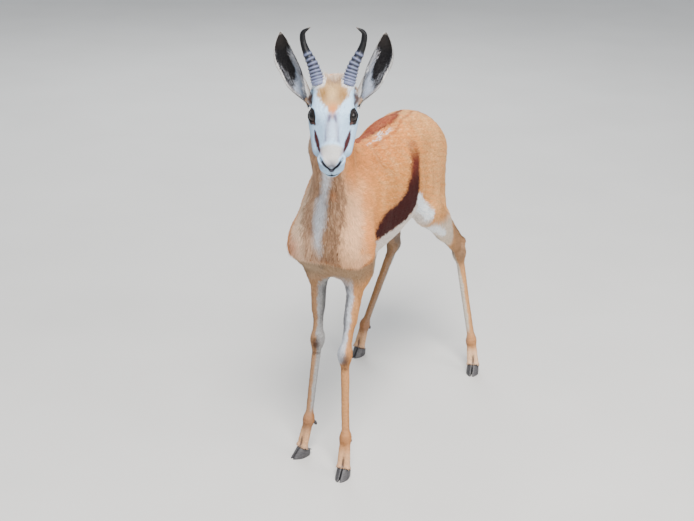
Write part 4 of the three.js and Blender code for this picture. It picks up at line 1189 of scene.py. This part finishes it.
# makes one flat pointed tuft, of three triangles, at each root
def tuft_piece(name, roots, normals, ways, lengths, widths, lifts, colours, unwrap):
    count = len(roots)
    ways = unit(ways - normals * (ways * normals).sum(axis=1)[:, None])
    aside = np.cross(ways, normals)
    sway = rng.normal(0, 0.16, count)
    ways = ways * np.cos(sway)[:, None] + aside * np.sin(sway)[:, None]
    aside = np.cross(ways, normals)
    lift = lifts * rng.uniform(0.6, 1.4, count)
    first = ways * np.cos(lift)[:, None] + normals * np.sin(lift)[:, None]
    last = ways * np.cos(lift * 0.25)[:, None] + normals * np.sin(lift * 0.25)[:, None]
    base = roots - normals * 0.25
    middle = base + first * (lengths * 0.55)[:, None]
    tip = middle + last * (lengths * 0.5)[:, None]
    half = aside * (widths / 2)[:, None]
    points = np.stack([base - half * 0.8, base + half * 0.8, middle - half, middle + half, tip], axis=1)
    soft = normals + 0.25 * ways
    shade = np.stack(
        [normals - 0.3 * aside, normals + 0.3 * aside, soft - 0.35 * aside, soft + 0.35 * aside, soft], axis=1
    )
    start = (np.arange(count) * 5)[:, None, None]
    faces = (start + np.array([[0, 1, 3], [0, 3, 2], [2, 3, 4]])[None]).reshape(-1, 3)
    piece = make_mesh(name, points.reshape(-1, 3), faces, unit(shade).reshape(-1, 3))
    each = np.repeat(colours[:, None], 5, axis=1)
    each *= tuft_tones[None, :, None]
    add_colour(piece, np.clip(each.reshape(-1, 3), 0, 1))
    layer = piece.data.uv_layers.new(name="OFBake")
    spot = np.array([[0, 0], [1, 0], [1, 0.6], [0, 0], [1, 0.6], [0, 0.6], [0, 0.6], [1, 0.6], [0.5, 1]])
    at = unwrap[:, None, :] * bake_room + spot[None] * bake_patch
    layer.data.foreach_set("uv", at.astype(np.float32).ravel())
    piece.data.materials.append(coat_finish)
    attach(piece, "root")


most_tufts = 65000


# grows one piece of the coat, with so many tufts to a square millimetre, their sizes in millimetres, and an
# axis that their roots are unwrapped about
def grow(name, wanted, density, length, width, lift, axis_point, axis_way):
    face, blend = strewn(min(density, most_tufts / face_area[wanted].sum()), wanted)
    p, n = blend(skin_points), unit(blend(skin_normals))
    head_share = on_head_share[face]
    on_body = (1 - head_share)[:, None]
    way = lie_of_coat(p, n, head_share)
    way = way + np.cross(n, way) * (0.25 * waves(p, 38, 31))[:, None]
    heading = unit(way)
    ragged = p + heading * rng.normal(0, 2.0, len(p))[:, None] * on_body
    clump = waves(p * [1, 1.0, 2.2], 17, 43)[:, None] * on_body
    colour = colour_at(ragged, n) * (1 + 0.035 * waves(p, 60, 41))[:, None]
    # light and dark ripples across the coat: painted light and shade
    ruffle_light_and_shade = waves(p * [0.5, 0.35, 1.9], 9, 6)[:, None] * on_body
    colour *= rng.normal(1.0, 0.09, len(p))[:, None] * (1 + 0.05 * clump) * (1 + 0.085 * ruffle_light_and_shade)
    lengths = length(p, n) * rng.uniform(0.75, 1.2, len(p))
    widths = width(p) * rng.uniform(0.75, 1.25, len(p))
    lifts = lift(p) * (1 + 0.35 * clump[:, 0])
    axis_way = unit(axis_way)
    q = p - np.array(axis_point, float)
    along = q @ axis_way
    side_way = unit(np.cross(axis_way, [1.0, 0.0, 0.0]))
    other_way = np.cross(axis_way, side_way)
    angle = np.arctan2(q @ side_way, q @ other_way) / (2 * np.pi) + 0.5
    unwrap = np.stack([angle, (along - along.min()) / np.ptp(along)], axis=1)
    tuft_piece(name, p, n, way, lengths, widths, lifts, colour, unwrap)


almond = in_almond(face_head)[0]
by_nostril, by_mouth, by_philtrum = (
    from_line(to_left(face_head), line)[0] for line in (nostril_line, mouth_line, philtrum_line)
)
by_nose = np.minimum(np.minimum(by_nostril, by_mouth), by_philtrum + 1.2)
face_bare = ((almond > -1.2) | (by_nose < 2.3)) & (face_middle[:, 2] > 600)
is_head = (on_head_share > 0.5) & ~face_is_ear & ~face_bare
leg_top_z = 384
is_leg = ~face_is_ear & (face_middle[:, 2] < leg_top_z)
is_neck = ~face_is_ear & (on_head_share <= 0.5) & ~is_leg & (face_middle[:, 1] < chest_y)
is_trunk = ~face_is_ear & (on_head_share <= 0.5) & ~is_leg & ~is_neck

# tufts to a square millimetre
trunk_density, neck_density, leg_density, face_density, ear_density = 0.42, 0.62, 0.77, 3.0, 2.0


def fringe_share(p):
    return bell((p[:, 2] - 472) / 11) * (p[:, 1] < chest_y)


def trunk_length(p, n):
    fan = np.exp(-((p[:, 0] - 6) ** 2) / 60) * (p[:, 2] > 600) * (p[:, 1] > -70) * (p[:, 1] < 90)
    front = eased(-n[:, 1], 0.2, 0.7) * (p[:, 1] < chest_y)
    return 9.5 + 6 * fringe_share(p) * eased(-n[:, 1], -0.3, 0.3) + 6 * fan + 4 * front


def trunk_width(p):
    return np.where(p[:, 1] < chest_y, 1.3, 1.5)


def trunk_lift(p):
    return 0.24 + 0.08 * fringe_share(p)


middle_y = face_middle[:, 1]
for name, wanted in (
    ("coat_ribs", is_trunk & (middle_y < 0)),
    ("coat_flanks", is_trunk & (middle_y >= 0) & (middle_y < 130)),
    ("coat_quarters", is_trunk & (middle_y >= 130)),
):
    grow(name, wanted, trunk_density, trunk_length, trunk_width, trunk_lift, [0, 0, 510], [0, 1, 0])
for name, wanted in (
    ("coat_breast", is_neck & (face_middle[:, 2] < 560)),
    ("coat_neck", is_neck & (face_middle[:, 2] >= 560)),
):
    grow(name, wanted, neck_density, trunk_length, trunk_width, trunk_lift, [0, -190, 560], [0, -0.3, 1])


def leg_length(p, n):
    return 3.6 + 3.4 * eased(p[:, 2], 60, 380)


def leg_width(p):
    return 0.8 + 0.4 * eased(p[:, 2], 60, 380)


def leg_lift(p):
    return np.full(len(p), 0.2)


for leg, (side, _, _, _, fetlock, _, _) in all_legs.items():
    at_end = middle_y < 40 if leg in fore_legs else middle_y >= 40
    wanted = is_leg & at_end & (np.sign(face_middle[:, 0]) == side) & (face_middle[:, 2] > coronet_z - 3)
    foot = [fetlock[0], fetlock[1], 0]
    grow(f"coat_{leg}", wanted, leg_density, leg_length, leg_width, leg_lift, foot, [0, 0, 1])


def crown_share(h):
    return bell(h[:, 0] / 19, (h[:, 1] - 50) / 14) * (h[:, 2] > 5)


def collar_share(left):
    return bell((np.linalg.norm(left - horn_root, axis=1) - 14) / 4.5)


def ear_foot_share(left):
    return bell((np.linalg.norm(left - ear_root, axis=1) - 15) / 6)


def face_length(p, n):
    h = to_head(p)
    left = to_left(h)
    near = np.minimum(from_line(left, nostril_line)[0], from_line(left, mouth_line)[0])
    near = np.minimum(near, np.maximum(-in_almond(h)[0] - 7, 0))
    short = np.clip(near / 6, 0.35, 1)
    tufted = 1 + 0.4 * waves(h, 9, 51)
    long_hair = 12 * crown_share(h) * tufted + 5 * collar_share(left) + 5 * ear_foot_share(left)
    return (2.6 + 3.5 * eased(h[:, 1], 20, 70)) * short + np.maximum(long_hair, 0)


def face_width(p):
    return 0.62 + 0.3 * crown_share(to_head(p))


def face_lift(p):
    left = to_left(to_head(p))
    return 0.16 + 0.6 * crown_share(left) + 0.25 * collar_share(left) + 0.3 * ear_foot_share(left)


head_ahead = head_turn @ [0, 1, 0]
for name, wanted in (
    ("coat_muzzle", is_head & (face_head[:, 1] < -48)),
    ("coat_cheeks", is_head & (face_head[:, 1] >= -48) & (face_head[:, 1] < 6)),
    ("coat_crown", is_head & (face_head[:, 1] >= 6)),
):
    grow(name, wanted, face_density, face_length, face_width, face_lift, head_at, head_ahead)

# Fur of the ears
# Down on the back of each ear, a pale fringe on its rim, and long pale hairs that lie from the inner margin
# over the dark cup.
for name, side in left_and_right:
    first = ear_starts[name]
    mine = (skin_faces[:, 0] >= first) & (skin_faces[:, 0] < first + ear_count)
    face, blend = strewn(ear_density, mine & (ear_t[skin_faces].mean(axis=1) > 0.0))
    p, n = blend(skin_points), unit(blend(skin_normals))
    t, c, inner = blend(ear_t), blend(ear_c), (blend(ear_inner) > 0.5).astype(float)
    up_ear = (ear_along * [side, 1, 1]) @ head_turn.T
    to_rim = (ear_out * [side, 1, 1]) @ head_turn.T
    way = np.tile(up_ear, (len(p), 1))
    upper_fur = inner * eased(c, 0.1, 0.4) * eased(-t, -0.8, -0.6)
    lower_fur = inner * eased(-c, 0.7, 0.9) * eased(-t, -0.9, -0.6)
    way = way + to_rim * (0.35 * upper_fur - 0.5 * lower_fur)[:, None]
    hairy = np.maximum(upper_fur, lower_fur)
    on_rim = eased(np.abs(c), 0.93, 0.99) * (0.4 + 0.6 * inner)
    seen_t = np.clip(t - 0.035 * rng.random(len(t)), 0.001, 1)
    seen_c = np.clip(c + rng.normal(0, 0.045, len(t)), -1, 1)
    colour = ear_colour(seen_t, seen_c, inner)
    colour = mixed(colour, paint(206, 205, 204), on_rim * 0.9)
    colour = mixed(colour, paint(214, 216, 224), upper_fur * (rng.random(len(t)) < 0.3) * (c > 0.3))
    colour = mixed(colour, paint(130, 122, 122), upper_fur * (rng.random(len(t)) < 0.16))
    colour *= rng.normal(1, 0.09, len(t))[:, None]
    lengths = 2.6 + 1.2 * (1 - t) + 7 * upper_fur + 2 * lower_fur + 1.6 * on_rim
    lengths = lengths * rng.uniform(0.7, 1.2, len(t))
    widths = np.where(hairy > 0.3, 0.5, 0.65)
    lifts = 0.14 + 0.2 * hairy + 0.3 * on_rim
    unwrap = np.stack([(c + 1) / 4 + inner / 2, np.clip(t, 0, 1)], axis=1)
    tuft_piece(f"coat_ear_{name}", p, n, way, lengths, widths, lifts, colour, unwrap)

# Eyes
# Large dark balls, glossy and wet, with a brown iris and a wide level pupil, set in the sockets behind the
# lids. Each is browner towards the muzzle.
eye_finish, tree, shader = new_finish("eye_finish", 0.16, 0.2)
show_marking(tree, shader, add_noise(tree, 700).outputs["Color"], 0.15)
shader.inputs["Coat Weight"].default_value = 0.4
shader.inputs["Coat Roughness"].default_value = 0.02
eye_rows, eye_columns = 48, 64
turn = np.arange(eye_columns) * 2 * np.pi / eye_columns
polar_grid, turn_grid = np.meshgrid(np.linspace(0, np.pi, eye_rows), turn, indexing="ij")
bulge = 1 + 0.045 * np.exp(-((polar_grid / 0.62) ** 4))
u = np.sin(polar_grid) * np.cos(turn_grid) * bulge
v = np.sin(polar_grid) * np.sin(turn_grid) * bulge
w = np.cos(polar_grid) * bulge
ball = lid_back * u[..., None] + lid_up * v[..., None] + gaze * w[..., None]
ball = (eye_centre + (eye_radius - 0.6) * ball).reshape(-1, 3)
at = np.arange(eye_rows * eye_columns).reshape(eye_rows, eye_columns)
nxt = np.roll(at, -1, axis=1)
quads = np.stack([at[:-1], at[1:], nxt[1:], nxt[:-1]], axis=-1).reshape(-1, 4)
across = (u.ravel() / 0.5) ** 2 + (v.ravel() / 0.3) ** 2
colour = mixed(paint(26, 15, 11), paint(8, 6, 6), 1 - eased(across, 0.8, 1.15))
colour = mixed(colour, paint(18, 13, 12), eased(polar_grid.ravel(), 0.9, 1.05))
colour = mixed(colour, paint(74, 46, 38), eased(-u.ravel(), 0.42, 0.8) * 0.8)
for name, side in left_and_right:
    eye = make_mesh(f"eyeball_{name}", from_head(ball * [side, 1, 1]), in_triangles(quads[:, ::side]))
    add_colour(eye, colour)
    eye.data.materials.append(eye_finish)
    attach(eye, "root")
    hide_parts(f"eye_{name}")

# Horns
# Short horns of dark keratin on bone cores, each with eight raised rings over its lower part and a smooth
# black end that hooks inwards.
horn_path = np.array(
    [
        [0, 0, 0], [9.8, 25, 17.6], [18.3, 38.8, 26.8], [24.8, 50.9, 36.7],
        [27.8, 61.8, 46.6], [26.5, 67.6, 54], [13.5, 71.7, 63.5],
    ],
    float,
)
horn_radius, horn_waist, ridge_rise, horn_rings, ringed_share = 13.0, 5.9, 2.0, 8, 0.54


def smooth_line(path, count):
    ends = np.vstack([2 * path[0] - path[1], path, 2 * path[-1] - path[-2]])
    out = []
    for i in range(1, len(ends) - 2):
        p0, p1, p2, p3 = ends[i - 1 : i + 3]
        knot = [0.0]
        for a, b in ((p0, p1), (p1, p2), (p2, p3)):
            knot.append(knot[-1] + max(np.linalg.norm(b - a), 1e-6) ** 0.5)
        k0, k1, k2, k3 = knot
        for s in np.linspace(k1, k2, count, endpoint=False):
            a1 = (k1 - s) / (k1 - k0) * p0 + (s - k0) / (k1 - k0) * p1
            a2 = (k2 - s) / (k2 - k1) * p1 + (s - k1) / (k2 - k1) * p2
            a3 = (k3 - s) / (k3 - k2) * p2 + (s - k2) / (k3 - k2) * p3
            b1 = (k2 - s) / (k2 - k0) * a1 + (s - k0) / (k2 - k0) * a2
            b2 = (k3 - s) / (k3 - k1) * a2 + (s - k1) / (k3 - k1) * a3
            out.append((k2 - s) / (k2 - k1) * b1 + (s - k1) / (k2 - k1) * b2)
    out.append(path[-1])
    out = np.array(out)
    run = np.concatenate([[0], np.cumsum(np.linalg.norm(np.diff(out, axis=0), axis=1))])
    return out, run / run[-1]


def along_line(line, run, t):
    return np.stack([np.interp(t, run, line[:, k]) for k in range(3)], axis=1)


# joins rings of points into one closed shell, with a middle point at each end
def closed_rings(rings, low_middle, high_middle):
    rows, sides = rings.shape[:2]
    at = np.arange(rows * sides).reshape(rows, sides)
    nxt = np.roll(at, -1, axis=1)
    walls = in_triangles(np.stack([at[:-1], nxt[:-1], nxt[1:], at[1:]], axis=-1).reshape(-1, 4))
    low = np.stack([nxt[0], at[0], np.full(sides, rows * sides)], axis=1)
    high = np.stack([at[-1], nxt[-1], np.full(sides, rows * sides + 1)], axis=1)
    points = np.concatenate([rings.reshape(-1, 3), [low_middle], [high_middle]])
    return points, np.concatenate([walls, low, high])


def tube(centres, wide, deep, sides, across=(1.0, 0.0, 0.0)):
    ahead = unit(np.gradient(centres, axis=0))
    side_way = unit(np.array(across) - ahead * (ahead @ np.array(across))[:, None])
    other = np.cross(ahead, side_way)
    a = np.arange(sides) * 2 * np.pi / sides
    rings = (
        centres[:, None]
        + side_way[:, None] * (wide[:, None] * np.cos(a))[..., None]
        + other[:, None] * (deep[:, None] * np.sin(a))[..., None]
    )
    return closed_rings(rings, centres[0], centres[-1])


horn_sides = 40
horn_finish, tree, shader = new_finish("horn_finish", 0.42, 0.3)
scratches = add_noise(tree, 420, 5)
show_marking(tree, shader, scratches.outputs["Color"], 0.5)
add_dents(tree, shader, scratches, 0.4, 0.0006)
line, run = smooth_line(horn_root + 0.3 * horn_rise + horn_path, 24)
t = np.concatenate([np.linspace(0, 0.62, 190), np.linspace(0.62, 1, 70)[1:]])
centres = along_line(line, run, t)
share = np.minimum(t / ringed_share, 1)
ring = 0.5 - 0.5 * np.cos(2 * np.pi * horn_rings * (1.45 * share - 0.45 * share**2))
tip = np.where(t > 0.74, 1 - np.clip((t - 0.74) / 0.26, 0, 1) ** 1.6 * 0.9, 1)
radius = (horn_radius + (horn_waist - horn_radius) * np.minimum(t / 0.7, 1)) * tip
radius = np.maximum(radius + ridge_rise * ring**1.6 * (1 - t) - 0.2, 0.5)
centres = np.vstack([centres[:1] - 5 * horn_rise, centres])
radius = np.concatenate([radius[:1], radius])
ring, share, t = (np.concatenate([[0], values]) for values in (ring, share, t))
points, faces = tube(centres, 0.94 * radius, 1.06 * radius, horn_sides)
a = np.arange(horn_sides) * 2 * np.pi / horn_sides
wobble = 0.25 * np.sin(3 * a[None] + 9 * t[:, None]) * (1 - t[:, None])
wobble = wobble + 0.12 * np.sin(11 * a[None] + 40 * t[:, None])
ring_points = points[: len(t) * horn_sides].reshape(len(t), horn_sides, 3)
outward = unit(ring_points - centres[:, None])
points[: len(t) * horn_sides] = (ring_points + outward * wobble[..., None]).reshape(-1, 3)
# the ring crests are pale blue-lilac against dark grooves: paler keratin, with painted highlight and cool
# light on it
crest = np.where(share < 0.05, 1, ring ** (0.22 + 2.8 * share**1.5))
per_ring = mixed(paint(26, 30, 44), paint(134, 142, 176), crest * (1 - 0.4 * share))
per_ring = mixed(per_ring, paint(7, 8, 12), eased(t, ringed_share - 0.02, ringed_share + 0.02))
per_ring = mixed(per_ring, paint(128, 118, 110), eased(t, 0.94, 1.0) * 0.8)
colour = np.concatenate([np.repeat(per_ring, horn_sides, axis=0), per_ring[:1], per_ring[-1:]])
for name, side in left_and_right:
    horn = make_mesh(f"horn_{name}_ringed", from_head(points * [side, 1, 1]), faces[:, ::side])
    add_colour(horn, colour)
    horn.data.materials.append(horn_finish)
    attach(horn, "root")
    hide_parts(f"horn_{name}")

# Hooves
# Each foot stands on two claws of dark keratin, flat below and inside and rounded outside, with growth lines
# round the wall, and has two small dewclaws behind the fetlock.
claw_length, coronet_tilt = 41, 25
# heights of the rings that make a claw, and how many points each has
claw_heights = (0, 0.5, 1.5, 4, 8, 12, 16, 20, 24, 28, 32, 36, 40)
claw_sides = 40
dewclaw_radius, dewclaw_length = 4.0, 11.5
hoof_finish, tree, shader = new_finish("hoof_finish", 0.5)
growth_lines = add_noise(tree, 160, 4, 6)
paint_by_noise(tree, shader, growth_lines, (0.3, paint(28, 28, 32)), (0.75, paint(84, 82, 84)))
add_dents(tree, shader, growth_lines, 0.5, 0.0005)
for leg, (side, _, _, _, fetlock, ground, toe_out) in all_legs.items():
    turn = toe_out * side
    ahead, across = foot_axes(turn)
    slope = math.radians(coronet_tilt)
    coronet = np.array(ground) - 5 * ahead + [0, 0, coronet_z]
    up_back = np.array([0, 0, math.cos(slope)]) - ahead * math.sin(slope)
    for hand, which in ((1, "outer"), (-1, "inner")):
        lateral = across * hand * (np.sign(turn) or 1)
        a = (np.arange(claw_sides) + 0.5) * 2 * np.pi / claw_sides
        rings = []
        for height in claw_heights:
            worn = 0.06 * (height == 0) + 0.02 * (height == 0.5)
            wide = (2 * claw_half - 0.6) * (1 - worn - height * 0.004)
            front = claw_length - 19 - height * 0.92 - 0.8 * (height == 0)
            rear = -19 - height * 0.12 + (height == 0)
            along = rear + (front - rear) * (np.sin(a) + 1) / 2
            full = np.where(np.cos(a) > 0, np.abs(np.cos(a)) ** 0.8, -(np.abs(np.cos(a)) ** 0.35))
            taper = 1 - 0.55 * np.maximum(np.sin(a), 0) ** 2
            out = 0.5 + wide * taper * (1 + full) / 2
            ring = np.array(ground) + ahead * along[:, None] + lateral * out[:, None] + [0, 0, height]
            over = np.maximum((ring - coronet) @ up_back + 0.2, 0) / up_back[2]
            ring = ring - [0, 0, 1] * over[:, None]
            rings.append(ring)
        rings = np.array(rings)
        points, faces = closed_rings(rings, rings[0].mean(axis=0), rings[-1].mean(axis=0))
        claw = make_mesh(f"claw_{leg}_{which}", points, facing_out(points, faces))
        claw.data.materials.append(hoof_finish)
        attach(claw, "root")
        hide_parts(f"{leg}_claw_{which}")

        root = np.array(fetlock) - 12 * ahead + 5.5 * lateral + [0, 0, -8]
        point = unit(np.array([0, 0, -1]) - 0.5 * ahead + 0.1 * lateral)
        t = np.linspace(0, 1, 16)
        centres = root + point * (dewclaw_length * t - 4)[:, None]
        radius = dewclaw_radius * np.sqrt(np.maximum(1 - np.maximum((t - 0.35) / 0.65, 0) ** 2, 0.02))
        radius *= 0.8 + 0.2 * eased(t, 0, 0.2)
        points, faces = tube(centres, radius, radius * 0.8, 20)
        dewclaw = make_mesh(f"dewclaw_{leg}_{which}", points, faces)
        dewclaw.data.materials.append(hoof_finish)
        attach(dewclaw, "root")
        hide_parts(f"{leg}_dewclaw_{which}")

# Tail
# A thin tail of bone and skin, white with short hair, and a narrow dark tuft of long locks towards its end.
tail_path = np.array(
    [[0, 268, 574], [0, 294, 566], [0, 309, 540], [0, 315, 490], [0, 313, 440], [0, 309, 400]], float
)
line, run = smooth_line(tail_path, 20)
core_rows, core_sides = 60, 20
t = np.linspace(0, 0.97, core_rows)
core_points, core_faces = tube(along_line(line, run, t), 7.0 - 4.6 * t, 6.2 - 4.0 * t, core_sides)
core_colour = mixed(white, dark_skin, eased(-core_points[:, 2], -505, -470) * 0.8)
hair_count = 2600
root_t = rng.uniform(0.02, 0.99, hair_count) ** 0.8
root_at = along_line(line, run, root_t)
heading = unit(along_line(line, run, np.minimum(root_t + 0.02, 1)) - along_line(line, run, root_t - 0.02))
around = rng.uniform(0, 2 * np.pi, hair_count)
side_way = np.tile([1.0, 0, 0], (hair_count, 1))
other = unit(np.cross(heading, side_way))
outward = side_way * np.cos(around)[:, None] + other * np.sin(around)[:, None]
core_radius = 6.4 - 4.2 * root_t
long_part = eased(root_t, 0.45, 0.7)
hair_length = (7 + 30 * long_part) * rng.uniform(0.7, 1.15, hair_count)
hair_width = 0.9 + 0.5 * long_part
hair_root = root_at + outward * (core_radius - 0.3)[:, None]
along = heading + outward * (0.22 + 0.05 * rng.normal(size=hair_count))[:, None]
hang = np.array([0, 0, -1.0])
steps = []
cross_way = np.cross(heading, outward)
for k, share in enumerate((0, 0.33, 0.66, 1)):
    drop = along * (1 - share * 0.5) + hang * share * 0.5
    centre = hair_root + drop * (hair_length * share)[:, None]
    if share < 1:
        half = cross_way * (hair_width * (1 - 0.55 * share) / 2)[:, None]
        steps += [centre - half, centre + half]
    else:
        steps.append(centre)
hair_points = np.stack(steps, axis=1)
hair_corners = np.array([[0, 1, 3], [0, 3, 2], [2, 3, 5], [2, 5, 4], [4, 5, 6]])
start = (len(core_points) + np.arange(hair_count) * 7)[:, None, None]
tail_faces = np.concatenate([core_faces, (start + hair_corners[None]).reshape(-1, 3)])
hair_colour = mixed(white, paint(52, 38, 34), eased(root_t, 0.4, 0.62))
hair_colour *= rng.normal(1, 0.1, hair_count)[:, None]
tail = make_mesh("tail_hair", np.concatenate([core_points, hair_points.reshape(-1, 3)]), tail_faces)
add_colour(tail, np.clip(np.concatenate([core_colour, np.repeat(hair_colour, 7, axis=0)]), 0, 1))
layer = tail.data.uv_layers.new(name="OFBake")
uv = np.zeros((len(tail_faces), 3, 2))
core_uv = np.stack([np.tile(np.arange(core_sides) / core_sides, core_rows), np.repeat(t, core_sides)], axis=1)
core_uv = np.concatenate([core_uv, [[0.5, 0.0], [0.5, 0.97]]])
uv[: len(core_faces)] = core_uv[core_faces] * 0.97
root_uv = np.stack([around / (2 * np.pi), root_t], axis=1)
hair_spot = np.array([[0, 0], [1, 0], [0, 0.33], [1, 0.33], [0, 0.66], [1, 0.66], [0.5, 1]])
hair_uv = root_uv[:, None] * bake_room + hair_spot[None] * bake_patch
uv[len(core_faces) :] = hair_uv[:, hair_corners].reshape(-1, 3, 2)
layer.data.foreach_set("uv", uv.astype(np.float32).ravel())
tail.data.materials.append(coat_finish)
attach(tail, "root")
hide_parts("tail")
